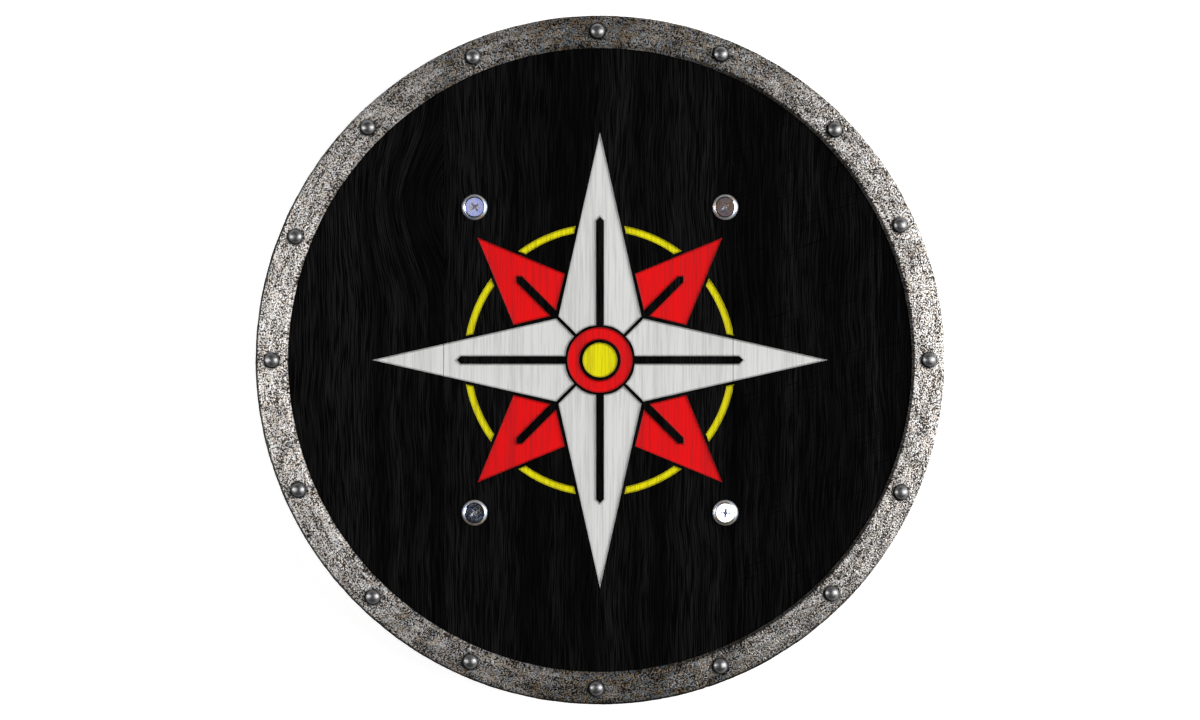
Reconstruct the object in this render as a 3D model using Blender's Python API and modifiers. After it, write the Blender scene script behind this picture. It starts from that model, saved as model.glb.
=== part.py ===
"""A round wooden shield lying on its back, in metres, +Z up, the top of its face towards +Y.

Three planks are held in a channel rim of iron by dome-headed rivets. Four flat-headed bolts go
through the planks and hold two leather straps on the back, and the shield rests on those straps.
A compass rose is routed into the face as shallow pockets. The origin is on the ground under the centre.
"""

import math

import bmesh
import bpy
from mathutils import Matrix, Vector

# Clearance that touching pieces keep, and the round shapes' fineness
FIT_GAP = 0.0003
SHIELD_SIDES = 64
SMALL_SIDES = 10
BOLT_SIDES = 16
OVERCUT = 0.002

# Board of three planks
SHIELD_DIAMETER = 0.440
BOARD_THICKNESS = 0.010
SEAM_LEFT_X = -0.100
SEAM_RIGHT_X = 0.085

# Rim, a channel that grips the board's edge. Its lip towards the centre has a wide, shallow bevel.
RIM_FACE_WIDTH = 0.021
RIM_THICKNESS = 0.002
RIM_CROWN = 0.0006
RIM_EDGE_CHAMFER = 0.0009
RIM_LIP_BEVEL_WIDTH = 0.0024
RIM_LIP_BEVEL_DROP = 0.0011

# Rivets through the rim and the board. They were set by hand, so each strays a little from its even place,
# counter-clockwise where the angle is above zero. The first is at the top, and they go on clockwise.
RIVET_COUNT = 16
RIVET_STRAY_DEG = (0.5, 1.0, -0.5, 1.7, 0.0, -1.3, -0.3, -1.1, -0.7, -0.8, 1.2, 0.8, 0.1, 0.5, 0.0, 0.3)
RIVET_HEAD_DIAMETER = 0.0098
RIVET_HEAD_HEIGHT = 0.0034
RIVET_SHANK_DIAMETER = 0.004
RIVET_TAIL_DIAMETER = 0.0068
RIVET_TAIL_HEIGHT = 0.0016

# Bolts through the board, with a cross recess in the head
BOLT_SPACING_X = 0.160
BOLT_SPACING_Y = 0.195
BOLT_SHANK_DIAMETER = 0.006
BOLT_HEAD_DIAMETER = 0.0166
BOLT_HEAD_HEIGHT = 0.0028
BOLT_HEAD_EDGE_ROUND = 0.0014
BOLT_HEAD_CROWN = 0.0003
RECESS_SPAN = 0.0060
RECESS_SLOT = 0.0014
RECESS_TIP_SLOT = 0.0010
RECESS_DEPTH = 0.0016
BOLT_TURNS_DEG = (18.0, 52.0, 71.0, 33.0)

# Washers and cap nuts on the back
WASHER_DIAMETER = 0.018
WASHER_THICKNESS = 0.0016
NUT_ACROSS_FLATS = 0.010
NUT_HEX_HEIGHT = 0.005
NUT_DOME_DIAMETER = 0.0094
NUT_DOME_HEIGHT = 0.0060
NUT_THREAD_REACH = 0.0070

# Leather straps. They stand as they settle under the shield's weight.
ARM_STRAP_WIDTH = 0.036
HAND_STRAP_WIDTH = 0.028
STRAP_THICKNESS = 0.003
STRAP_DROP = 0.036
STRAP_END_MARGIN = 0.016
STRAP_CORNER_RADIUS = 0.008
STRAP_SEAT_LENGTH = 0.0136
STRAP_FALL_RUN = 0.030
STRAP_FALL_STEPS = 8

# Compass rose, routed into the face. Every outline is drawn in by half of ROSE_LINE.
ROSE_DEPTH = 0.0012
ROSE_LINE = 0.0026
ROSE_LONG_TIP = 0.150
ROSE_SHORT_TIP = 0.113
ROSE_NECK_RADIUS = 0.039
ROSE_SHORT_SHARE = 0.23
ROSE_SLOT_WIDTH = 0.0030
ROSE_LONG_SLOT_END = 0.090
ROSE_SHORT_SLOT_END = 0.074
ROSE_EYE_RADIUS = 0.0215
ROSE_HUB_RING_OUTER = 0.0205
ROSE_HUB_RING_INNER = 0.0135
ROSE_HUB_DISC_RADIUS = 0.0108
ROSE_CIRCLE_OUTER = 0.0880
ROSE_CIRCLE_INNER = 0.0815
ROSE_ARC_STEP_DEG = 12

# Heights above the ground that follow from the sizes
BOARD_BACK_Z = STRAP_DROP
BOARD_FRONT_Z = BOARD_BACK_Z + BOARD_THICKNESS
RIM_INSIDE_BACK_Z = BOARD_BACK_Z - FIT_GAP
RIM_INSIDE_FRONT_Z = BOARD_FRONT_Z + FIT_GAP
RIM_BACK_Z = RIM_INSIDE_BACK_Z - RIM_THICKNESS
RIM_FRONT_Z = RIM_INSIDE_FRONT_Z + RIM_THICKNESS
RIM_CROWN_Z = RIM_FRONT_Z + RIM_CROWN
STRAP_SEAT_Z = BOARD_BACK_Z - FIT_GAP - STRAP_THICKNESS / 2
WASHER_TOP_Z = STRAP_SEAT_Z - STRAP_THICKNESS / 2 - FIT_GAP
NUT_TOP_Z = WASHER_TOP_Z - WASHER_THICKNESS - FIT_GAP

# Radii that follow from the sizes
SHIELD_RADIUS = SHIELD_DIAMETER / 2
BOARD_RADIUS = SHIELD_RADIUS - RIM_THICKNESS - FIT_GAP
RIVET_CIRCLE_RADIUS = SHIELD_RADIUS - RIM_FACE_WIDTH / 2
RIVET_HOLE_RADIUS = RIVET_SHANK_DIAMETER / 2 + FIT_GAP
BOLT_HOLE_RADIUS = BOLT_SHANK_DIAMETER / 2 + FIT_GAP


def clear_scene():
    for obj in list(bpy.data.objects):
        bpy.data.objects.remove(obj, do_unlink=True)


def new_collection(name):
    made = bpy.data.collections.new(name)
    bpy.context.scene.collection.children.link(made)
    return made


def material(name, colour, roughness, metallic):
    made = bpy.data.materials.new(name)
    made.use_nodes = True
    shader = made.node_tree.nodes["Principled BSDF"]
    shader.inputs["Base Color"].default_value = (*colour, 1.0)
    shader.inputs["Roughness"].default_value = roughness
    shader.inputs["Metallic"].default_value = metallic
    return made


def placed(name, mesh, collection, at=(0, 0, 0), turn_deg=0.0, parent=None, finish=None):
    """An object of its own for a mesh, which other objects may share."""
    obj = bpy.data.objects.new(name, mesh)
    obj.location = at
    obj.rotation_euler = (0, 0, math.radians(turn_deg))
    obj.parent = parent
    collection.objects.link(obj)
    if finish and not mesh.materials:
        mesh.materials.append(finish)
    return obj


def as_cutter(obj):
    obj.hide_render = True
    obj.display_type = "WIRE"
    return obj


def cut(obj, cutter, operation="DIFFERENCE"):
    modifier = obj.modifiers.new(f"{operation.lower()} {cutter.name}", "BOOLEAN")
    modifier.operation = operation
    modifier.object = cutter
    return obj


def finished_mesh(obj, name):
    """The object's mesh as its modifiers leave it. The object itself is removed."""
    bpy.context.view_layer.update()
    graph = bpy.context.evaluated_depsgraph_get()
    mesh = bpy.data.meshes.new_from_object(obj.evaluated_get(graph))
    mesh.transform(obj.matrix_world)
    mesh.name = name
    bpy.data.objects.remove(obj, do_unlink=True)
    return mesh


def weld(mesh):
    work = bmesh.new()
    work.from_mesh(mesh)
    bmesh.ops.remove_doubles(work, verts=work.verts, dist=0.000005)
    bmesh.ops.recalc_face_normals(work, faces=work.faces)
    work.to_mesh(mesh)
    work.free()
    return mesh


def round_bar(name, collection, radius, low, high, at=(0, 0), sides=SMALL_SIDES):
    """A cylinder from one height to another, its first corner towards +X as on a turned shape."""
    work = bmesh.new()
    bmesh.ops.create_cone(
        work,
        cap_ends=True,
        segments=sides,
        radius1=radius,
        radius2=radius,
        depth=high - low,
        matrix=Matrix.Translation((at[0], at[1], (low + high) / 2)) @ Matrix.Rotation(math.pi / 2, 4, "Z"),
    )
    mesh = bpy.data.meshes.new(name)
    work.to_mesh(mesh)
    work.free()
    return placed(name, mesh, collection)


def box(name, collection, low, high):
    work = bmesh.new()
    size = Vector(high) - Vector(low)
    middle = (Vector(high) + Vector(low)) / 2
    bmesh.ops.create_cube(work, size=1.0, matrix=Matrix.Translation(middle) @ Matrix.Diagonal((*size, 1.0)))
    mesh = bpy.data.meshes.new(name)
    work.to_mesh(mesh)
    work.free()
    return placed(name, mesh, collection)


def turned(name, collection, profile, sides, closed=False):
    """A profile of (radius, height) points, listed down its outer side, turned about the Z axis."""
    mesh = bpy.data.meshes.new(name)
    points = [(radius, 0.0, height) for radius, height in profile]
    ends = len(points) if closed else len(points) - 1
    mesh.from_pydata(points, [(i, (i + 1) % len(points)) for i in range(ends)], [])
    obj = placed(name, mesh, collection)
    screw = obj.modifiers.new("turn", "SCREW")
    screw.axis = "Z"
    screw.angle = math.tau
    screw.steps = screw.render_steps = sides
    screw.use_merge_vertices = True
    screw.merge_threshold = 0.000005
    screw.use_smooth_shade = False
    return obj


def flat_shape(name, collection, outlines, low, high, matrix=None):
    """Closed outlines filled and given a thickness from low to high along their own Z axis."""
    curve = bpy.data.curves.new(name, "CURVE")
    curve.dimensions = "2D"
    curve.fill_mode = "BOTH"
    curve.extrude = (high - low) / 2
    for outline in outlines:
        spline = curve.splines.new("POLY")
        spline.points.add(len(outline) - 1)
        for point, (x, y) in zip(spline.points, outline):
            point.co = (x, y, 0.0, 1.0)
        spline.use_cyclic_u = True
    drawn = bpy.data.objects.new(name + "_outline", curve)
    collection.objects.link(drawn)
    drawn.matrix_world = (matrix or Matrix.Identity(4)) @ Matrix.Translation((0, 0, (low + high) / 2))
    return placed(name, weld(finished_mesh(drawn, name)), collection)


def dome(radius, height, base_z, steps, downwards=False):
    """Points of a quarter ellipse from the axis to the edge, or from the edge to the axis below."""
    quarter = [math.pi / 2 * i / steps for i in range(steps + 1)]
    points = [(radius * math.sin(a), height * math.cos(a)) for a in quarter]
    if downwards:
        return [(r, base_z - h) for r, h in reversed(points)]
    return [(r, base_z + h) for r, h in points]


def arc(radius, start_deg, end_deg, step_deg=ROSE_ARC_STEP_DEG):
    """Points of a circle about the centre, both ends included."""
    steps = max(1, round(abs(end_deg - start_deg) / step_deg))
    angles = [math.radians(start_deg + (end_deg - start_deg) * i / steps) for i in range(steps + 1)]
    return [(radius * math.cos(a), radius * math.sin(a)) for a in angles]


def turned_points(points, degrees):
    c, s = math.cos(math.radians(degrees)), math.sin(math.radians(degrees))
    return [(x * c - y * s, x * s + y * c) for x, y in points]


def drawn_in(outline, distance):
    """An outline, counter-clockwise, with every edge moved inwards and the corners kept sharp."""
    made = []
    for i, here in enumerate(outline):
        before, after = Vector(outline[i - 1]), Vector(outline[(i + 1) % len(outline)])
        here = Vector(here)
        first, second = (here - before).normalized(), (after - here).normalized()
        inwards = Vector((-first.y - second.y, first.x + second.x))
        inwards.normalize()
        made.append(tuple(here + inwards * (distance / inwards.dot(Vector((-first.y, first.x))))))
    return made


def between(a, b, share):
    return tuple(Vector(a).lerp(Vector(b), share))


def on_circle(radius, degrees):
    return (radius * math.cos(math.radians(degrees)), radius * math.sin(math.radians(degrees)))


def long_point():
    """The rose's point along +X, with a black slot up its middle from the eye."""
    half_slot = ROSE_SLOT_WIDTH / 2
    slot_mouth = math.degrees(math.asin(half_slot / ROSE_EYE_RADIUS))
    upper = arc(ROSE_EYE_RADIUS, 45, slot_mouth)
    slot = [(ROSE_LONG_SLOT_END - half_slot, half_slot), (ROSE_LONG_SLOT_END, 0)]
    slot += [(ROSE_LONG_SLOT_END - half_slot, -half_slot)]
    lower = arc(ROSE_EYE_RADIUS, -slot_mouth, -45)
    neck_upper, neck_lower = on_circle(ROSE_NECK_RADIUS, 45), on_circle(ROSE_NECK_RADIUS, -45)
    return [(ROSE_LONG_TIP, 0), neck_upper, *upper, *slot, *lower, neck_lower]


def short_point():
    """The rose's point on the diagonal, between two long ones, with a slot from its root."""
    root = on_circle(ROSE_NECK_RADIUS, 45)
    right = between(root, (ROSE_LONG_TIP, 0), ROSE_SHORT_SHARE)
    left = between(root, (0, ROSE_LONG_TIP), ROSE_SHORT_SHARE)
    half_slot = ROSE_SLOT_WIDTH / 2
    mouth = ROSE_NECK_RADIUS + half_slot
    slot = [(mouth, -half_slot), (ROSE_SHORT_SLOT_END - half_slot, -half_slot), (ROSE_SHORT_SLOT_END, 0)]
    slot += [(ROSE_SHORT_SLOT_END - half_slot, half_slot), (mouth, half_slot)]
    slot = turned_points(slot, 45)
    return [on_circle(ROSE_SHORT_TIP, 45), left, *reversed(slot), right]


def edge_angle(radius, start, end):
    """The angle at which the straight edge from start to end crosses a circle about the centre."""
    a, b = Vector(start), Vector(end) - Vector(start)
    p, q, r = b.dot(b), a.dot(b), a.dot(a) - radius * radius
    share = (-q + math.sqrt(q * q - p * r)) / p
    x, y = between(start, end, share)
    return math.degrees(math.atan2(y, x))


def circle_part():
    """The stretch of the rose's circle from a long point to the next short one."""
    root = on_circle(ROSE_NECK_RADIUS, 45)
    right = between(root, (ROSE_LONG_TIP, 0), ROSE_SHORT_SHARE)
    low_outer = edge_angle(ROSE_CIRCLE_OUTER, root, (ROSE_LONG_TIP, 0))
    low_inner = edge_angle(ROSE_CIRCLE_INNER, root, (ROSE_LONG_TIP, 0))
    high_outer = edge_angle(ROSE_CIRCLE_OUTER, right, on_circle(ROSE_SHORT_TIP, 45))
    high_inner = edge_angle(ROSE_CIRCLE_INNER, right, on_circle(ROSE_SHORT_TIP, 45))
    return [*arc(ROSE_CIRCLE_OUTER, low_outer, high_outer), *arc(ROSE_CIRCLE_INNER, high_inner, low_inner)]


def mirrored_on_diagonal(outline):
    return [(y, x) for x, y in reversed(outline)]


def rose_outlines():
    """Every pocket of the rose, each drawn in so that a black line stays between neighbours."""
    outlines = []
    stretch = circle_part()
    for quarter in range(4):
        for shape in (long_point(), short_point(), stretch, mirrored_on_diagonal(stretch)):
            outlines.append(turned_points(drawn_in(shape, ROSE_LINE / 2), 90 * quarter))
    for radius in (ROSE_HUB_RING_OUTER, ROSE_HUB_RING_INNER, ROSE_HUB_DISC_RADIUS):
        outlines.append(arc(radius, 0, 360)[:-1])
    return outlines


def rivet_places():
    places = []
    for i in range(RIVET_COUNT):
        even_deg = 90 - 360 / RIVET_COUNT * i
        stray_deg = RIVET_STRAY_DEG[i % len(RIVET_STRAY_DEG)]
        places.append(on_circle(RIVET_CIRCLE_RADIUS, even_deg + stray_deg))
    return places


def bolt_places():
    """Top left, top right, bottom left, bottom right, as seen from the front."""
    x, y = BOLT_SPACING_X / 2, BOLT_SPACING_Y / 2
    return [(-x, y), (x, y), (-x, -y), (x, -y)]


def joined_cutter(name, collection, bars):
    """Several cutters that stand apart, as one object."""
    work = bmesh.new()
    for bar in bars:
        work.from_mesh(bar.data)
        bpy.data.objects.remove(bar, do_unlink=True)
    mesh = bpy.data.meshes.new(name)
    work.to_mesh(mesh)
    work.free()
    return as_cutter(placed(name, mesh, collection))


def hole_cutter(name, collection, places, radius):
    """Round bars through everything from the ground to above the rim."""
    top = RIM_CROWN_Z + OVERCUT
    bars = [round_bar(f"{name}_{i}", collection, radius, 0, top, at) for i, at in enumerate(places)]
    return joined_cutter(name, collection, bars)


def make_planks(parts, cutters, parent, finish, holes):
    """Three planks of one round board, with the rose routed into the face."""
    rose_floor = BOARD_FRONT_Z - ROSE_DEPTH
    rose = as_cutter(
        flat_shape("rose_pockets", cutters, rose_outlines(), rose_floor, BOARD_FRONT_Z + OVERCUT)
    )
    reach = SHIELD_RADIUS + OVERCUT
    low_z, high_z = BOARD_BACK_Z - OVERCUT, BOARD_FRONT_Z + OVERCUT
    slabs = {
        "plank_left": (-reach, SEAM_LEFT_X - FIT_GAP / 2),
        "plank_middle": (SEAM_LEFT_X + FIT_GAP / 2, SEAM_RIGHT_X - FIT_GAP / 2),
        "plank_right": (SEAM_RIGHT_X + FIT_GAP / 2, reach),
    }
    for name, (low_x, high_x) in slabs.items():
        plank = round_bar(name, parts, BOARD_RADIUS, BOARD_BACK_Z, BOARD_FRONT_Z, sides=SHIELD_SIDES)
        plank.parent = parent
        plank.data.materials.append(finish)
        slab = as_cutter(box(name + "_slab", cutters, (low_x, -reach, low_z), (high_x, reach, high_z)))
        cut(plank, slab, "INTERSECT")
        for cutter in (rose, *holes):
            cut(plank, cutter)


def make_rim(parts, parent, finish, holes):
    """A channel, open towards the centre, with a crowned face, a bevelled lip and eased outer corners."""
    inner, outer, ease = SHIELD_RADIUS - RIM_FACE_WIDTH, SHIELD_RADIUS, RIM_EDGE_CHAMFER
    channel = outer - RIM_THICKNESS
    profile = [
        (inner, RIM_FRONT_Z - RIM_LIP_BEVEL_DROP),
        (inner + RIM_LIP_BEVEL_WIDTH, RIM_FRONT_Z),
        (RIVET_CIRCLE_RADIUS, RIM_CROWN_Z),
        (outer - ease, RIM_FRONT_Z),
        (outer, RIM_FRONT_Z - ease),
        (outer, RIM_BACK_Z + ease),
        (outer - ease, RIM_BACK_Z),
        (inner, RIM_BACK_Z),
        (inner, RIM_INSIDE_BACK_Z),
        (channel, RIM_INSIDE_BACK_Z),
        (channel, RIM_INSIDE_FRONT_Z),
        (inner, RIM_INSIDE_FRONT_Z),
    ]
    ring = turned("rim_ring", parts, profile, SHIELD_SIDES, closed=True)
    rim = placed("rim", finished_mesh(ring, "rim"), parts, parent=parent, finish=finish)
    cut(rim, holes)


def make_rivets(parts, parent, finish):
    """Dome heads on the face, and peened tails on the back."""
    shank, tail = RIVET_SHANK_DIAMETER / 2, RIVET_TAIL_DIAMETER / 2
    head_z, tail_z = RIM_CROWN_Z + FIT_GAP, RIM_BACK_Z - FIT_GAP
    profile = dome(RIVET_HEAD_DIAMETER / 2, RIVET_HEAD_HEIGHT, head_z, 3)
    profile += [(shank, head_z), (shank, tail_z)]
    profile += dome(tail, RIVET_TAIL_HEIGHT, tail_z, 2, downwards=True)
    mesh = finished_mesh(turned("rivet_shape", parts, profile, SMALL_SIDES), "rivet")
    for number, (x, y) in enumerate(rivet_places(), start=1):
        placed(f"rim_rivet_{number:02d}", mesh, parts, at=(x, y, 0), parent=parent, finish=finish)


def make_bolts(parts, cutters, parent, finish):
    """Flat round heads with an eased edge and a cross recess, and a shank that ends in the nut."""
    head, shank = BOLT_HEAD_DIAMETER / 2, BOLT_SHANK_DIAMETER / 2
    under_z = BOARD_FRONT_Z + FIT_GAP
    shoulder_z = under_z + BOLT_HEAD_HEIGHT - BOLT_HEAD_EDGE_ROUND - BOLT_HEAD_CROWN
    flat = head - BOLT_HEAD_EDGE_ROUND
    edge = [
        (flat + r, z) for r, z in dome(BOLT_HEAD_EDGE_ROUND, BOLT_HEAD_EDGE_ROUND, shoulder_z, 2)
    ]
    profile = [(0, under_z + BOLT_HEAD_HEIGHT), *edge, (head, under_z), (shank, under_z)]
    profile += [(shank, NUT_TOP_Z - NUT_THREAD_REACH), (0, NUT_TOP_Z - NUT_THREAD_REACH)]
    bolt = turned("bolt_shape", parts, profile, BOLT_SIDES)
    floor_z, top_z = under_z + BOLT_HEAD_HEIGHT - RECESS_DEPTH, under_z + BOLT_HEAD_HEIGHT + OVERCUT
    arm, half, tip = RECESS_SPAN / 2, RECESS_SLOT / 2, RECESS_TIP_SLOT / 2
    wing = [(arm, -tip), (arm, tip), (half, half)]
    cross = [point for quarter in range(4) for point in turned_points(wing, 90 * quarter)]
    cut(bolt, as_cutter(flat_shape("cross_recess", cutters, [cross], floor_z, top_z)))
    mesh = finished_mesh(bolt, "bolt")
    for number, ((x, y), turn) in enumerate(zip(bolt_places(), BOLT_TURNS_DEG), start=1):
        placed(f"strap_bolt_{number}", mesh, parts, at=(x, y, 0), turn_deg=turn, parent=parent, finish=finish)


def make_washers(parts, parent, finish):
    outer, inner = WASHER_DIAMETER / 2, BOLT_HOLE_RADIUS
    low_z = WASHER_TOP_Z - WASHER_THICKNESS
    profile = [(inner, WASHER_TOP_Z), (outer, WASHER_TOP_Z), (outer, low_z), (inner, low_z)]
    ring = turned("washer_shape", parts, profile, BOLT_SIDES, closed=True)
    mesh = finished_mesh(ring, "washer")
    for number, (x, y) in enumerate(bolt_places(), start=1):
        placed(f"strap_washer_{number}", mesh, parts, at=(x, y, 0), parent=parent, finish=finish)


def make_nuts(parts, cutters, parent, finish):
    """Cap nuts: a hexagon with a dome under it and a blind hole for the bolt."""
    corner = NUT_ACROSS_FLATS / 2 / math.cos(math.pi / 6)
    hex_low_z = NUT_TOP_Z - NUT_HEX_HEIGHT
    nut = round_bar("nut_shape", parts, corner, hex_low_z, NUT_TOP_Z, sides=6)
    profile = [(0, hex_low_z + OVERCUT), (NUT_DOME_DIAMETER / 2, hex_low_z + OVERCUT)]
    profile += dome(NUT_DOME_DIAMETER / 2, NUT_DOME_HEIGHT, hex_low_z, 2, downwards=True)
    cap = as_cutter(turned("nut_cap", cutters, profile, SMALL_SIDES))
    bore_end = NUT_TOP_Z - NUT_THREAD_REACH - FIT_GAP
    bore = as_cutter(round_bar("nut_bore", cutters, BOLT_HOLE_RADIUS, bore_end, NUT_TOP_Z + OVERCUT))
    cut(nut, cap, "UNION")
    cut(nut, bore)
    mesh = finished_mesh(nut, "cap_nut")
    for number, (x, y) in enumerate(bolt_places(), start=1):
        placed(f"strap_nut_{number}", mesh, parts, at=(x, y, 0), parent=parent, finish=finish)


def strap_line():
    """The strap's middle line as (y, z), from its lower end to its upper one."""
    bolt_y = BOLT_SPACING_Y / 2
    leave_y = bolt_y - STRAP_SEAT_LENGTH
    floor_z = STRAP_THICKNESS / 2
    fall = STRAP_SEAT_Z - floor_z
    half = [(bolt_y + STRAP_END_MARGIN, STRAP_SEAT_Z)]
    for i in range(STRAP_FALL_STEPS + 1):
        share = i / STRAP_FALL_STEPS
        height = floor_z + fall * (1 + math.cos(math.pi * share)) / 2
        half.append((leave_y - STRAP_FALL_RUN * share, height))
    return half + [(-y, z) for y, z in reversed(half)]


def ribbon_outline(line, thickness):
    """The outline of a strip that follows a line, half its thickness to each side."""
    sides = [[], []]
    for i, here in enumerate(line):
        before, after = Vector(line[max(i - 1, 0)]), Vector(line[min(i + 1, len(line) - 1)])
        along = (after - before).normalized()
        across = Vector((-along.y, along.x)) * (thickness / 2)
        for side, sign in zip(sides, (1, -1)):
            side.append(tuple(Vector(here) + across * sign))
    return sides[0] + sides[1][::-1]


def rounded_rectangle(half_x, half_y, radius, steps=4):
    corners = ((1, 1, 0), (-1, 1, 90), (-1, -1, 180), (1, -1, 270))
    points = []
    for sign_x, sign_y, start in corners:
        cx, cy = sign_x * (half_x - radius), sign_y * (half_y - radius)
        points += [(cx + x, cy + y) for x, y in arc(radius, start, start + 90, 90 / steps)]
    return points


def make_strap(name, parts, cutters, parent, finish, x, width, holes):
    """A strip bent in side view, then trimmed to round corners in plan view."""
    side_view = Matrix(((0, 0, 1, x), (1, 0, 0, 0), (0, 1, 0, 0), (0, 0, 0, 1)))
    outline = ribbon_outline(strap_line(), STRAP_THICKNESS)
    strap = flat_shape(name, parts, [outline], -width / 2, width / 2, side_view)
    strap.parent = parent
    strap.data.materials.append(finish)
    half_length = BOLT_SPACING_Y / 2 + STRAP_END_MARGIN
    plan = rounded_rectangle(width / 2, half_length, STRAP_CORNER_RADIUS)
    middle = Matrix.Translation((x, 0, 0))
    low_z, high_z = -OVERCUT, BOARD_BACK_Z + OVERCUT
    trimmer = as_cutter(flat_shape(name + "_plan", cutters, [plan], low_z, high_z, middle))
    cut(strap, trimmer, "INTERSECT")
    cut(strap, holes)


def settle_and_shade(parts):
    """Every cut goes into its piece's mesh. Flat faces stay flat, and round ones shade as one surface."""
    bpy.context.view_layer.update()
    graph = bpy.context.evaluated_depsgraph_get()
    for obj in [obj for obj in parts.objects if obj.modifiers]:
        settled = bpy.data.meshes.new_from_object(obj.evaluated_get(graph))
        settled.name = obj.name
        obj.modifiers.clear()
        obj.data = settled
    for mesh in {obj.data for obj in parts.objects if obj.type == "MESH"}:
        mesh.shade_smooth()
        mesh.set_sharp_from_angle(angle=math.radians(35))


def make_shield():
    parts = new_collection("round_shield")
    cutters = new_collection("cutters")
    parent = bpy.data.objects.new("shield_origin", None)
    parts.objects.link(parent)
    black_wood = material("black_stained_wood", (0.006, 0.006, 0.006), 0.55, 0.0)
    iron = material("weathered_iron", (0.42, 0.40, 0.37), 0.60, 0.9)
    rivet_steel = material("dark_rivet_steel", (0.20, 0.20, 0.20), 0.35, 1.0)
    zinc = material("zinc_plated_steel", (0.75, 0.77, 0.80), 0.20, 1.0)
    leather = material("dark_leather", (0.050, 0.022, 0.012), 0.60, 0.0)
    rivet_holes = hole_cutter("rivet_holes", cutters, rivet_places(), RIVET_HOLE_RADIUS)
    bolt_holes = hole_cutter("bolt_holes", cutters, bolt_places(), BOLT_HOLE_RADIUS)
    make_planks(parts, cutters, parent, black_wood, (rivet_holes, bolt_holes))
    make_rim(parts, parent, iron, rivet_holes)
    make_rivets(parts, parent, rivet_steel)
    make_bolts(parts, cutters, parent, zinc)
    make_washers(parts, parent, zinc)
    make_nuts(parts, cutters, parent, zinc)
    strap_x = BOLT_SPACING_X / 2
    make_strap("arm_strap", parts, cutters, parent, leather, -strap_x, ARM_STRAP_WIDTH, bolt_holes)
    make_strap("hand_strap", parts, cutters, parent, leather, strap_x, HAND_STRAP_WIDTH, bolt_holes)
    settle_and_shade(parts)


clear_scene()
make_shield()
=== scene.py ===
import math

import bmesh
import bpy
from mathutils import Matrix, Vector


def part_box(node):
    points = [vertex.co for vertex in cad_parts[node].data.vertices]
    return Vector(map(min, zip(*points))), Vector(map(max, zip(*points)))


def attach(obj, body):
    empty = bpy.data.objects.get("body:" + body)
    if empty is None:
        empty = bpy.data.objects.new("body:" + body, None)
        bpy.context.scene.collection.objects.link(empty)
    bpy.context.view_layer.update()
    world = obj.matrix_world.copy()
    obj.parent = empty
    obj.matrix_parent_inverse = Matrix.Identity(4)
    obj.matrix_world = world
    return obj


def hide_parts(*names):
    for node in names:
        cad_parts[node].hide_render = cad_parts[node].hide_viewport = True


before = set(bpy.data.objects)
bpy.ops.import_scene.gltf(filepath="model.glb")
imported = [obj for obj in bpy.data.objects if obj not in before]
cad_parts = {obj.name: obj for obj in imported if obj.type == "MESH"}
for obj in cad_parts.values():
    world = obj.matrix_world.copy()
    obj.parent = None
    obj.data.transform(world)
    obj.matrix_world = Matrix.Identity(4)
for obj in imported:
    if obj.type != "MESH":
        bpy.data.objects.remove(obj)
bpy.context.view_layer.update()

# Sizes in metres, as the shield is built. Heights come from the frame's own pieces.
SHIELD_RADIUS = 0.220
FIT_GAP = 0.0003
SEAM_LEFT_X = -0.100
SEAM_RIGHT_X = 0.085
SEAM_EDGE_EASE = 0.0002

RIM_FACE_WIDTH = 0.021
RIM_THICKNESS = 0.002
RIM_CROWN = 0.0006
RIM_EDGE_ROUND = 0.0009
RIM_LIP_BEVEL_WIDTH = 0.0024
RIM_LIP_BEVEL_DROP = 0.0011
RIM_LIP_FOOT = 0.0005
RIM_BACK_EASE = 0.0002
DENT_DEPTH = 0.00025
GRAIN_DEPTH = 0.00016
PIT_DEPTH = 0.00045

RIVET_COUNT = 16
RIVET_HEAD_RADIUS = 0.0049
RIVET_HEAD_EDGE = 0.0003
RIVET_FOOT_DROP = 0.0002
RIVET_SHANK_RADIUS = 0.002
RIVET_TAIL_RADIUS = 0.0034

BOLT_COUNT = 4
BOLT_X = 0.080
BOLT_Y = 0.0975
BOLT_HEAD_RADIUS = 0.0083
BOLT_HEAD_EASE = 0.0002
BOLT_SHANK_RADIUS = 0.003
BOLT_TIP_CHAMFER = 0.0006
RECESS_ARM = 0.0030
RECESS_ARM_HALF_WIDTH = 0.0005
RECESS_CORNER = 0.0007

WASHER_RADIUS = 0.009
WASHER_HOLE_RADIUS = 0.0033
WASHER_ROUND = 0.0005
WASHER_EASE = 0.0002

NUT_HALF_WIDTH = 0.005
NUT_HEXAGON_HEIGHT = 0.005
NUT_FACE_RADIUS = 0.0049
NUT_CORNER_RADIUS = 0.0061
NUT_CORNER_DROP = 0.0009
NUT_DOME_RADIUS = 0.0047
NUT_BORE_RADIUS = 0.0033
NUT_BORE_DEPTH = 0.0073

ARM_STRAP_WIDTH = 0.036
HAND_STRAP_WIDTH = 0.028
STRAP_THICKNESS = 0.003
STRAP_EDGE_ROUND = 0.0009
STRAP_END_MARGIN = 0.016
STRAP_CORNER_RADIUS = 0.008
STRAP_SEAT_LENGTH = 0.0136
STRAP_FALL_RUN = 0.030
GROOVE_DEPTH = 0.00035
GROOVE_HALF_WIDTH = 0.0006
STITCH_INSET = 0.0035
STITCH_LENGTH = 0.0042
STITCH_GAP = 0.0010
THREAD_RADIUS = 0.00038
THREAD_SUNK = 0.00012

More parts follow.
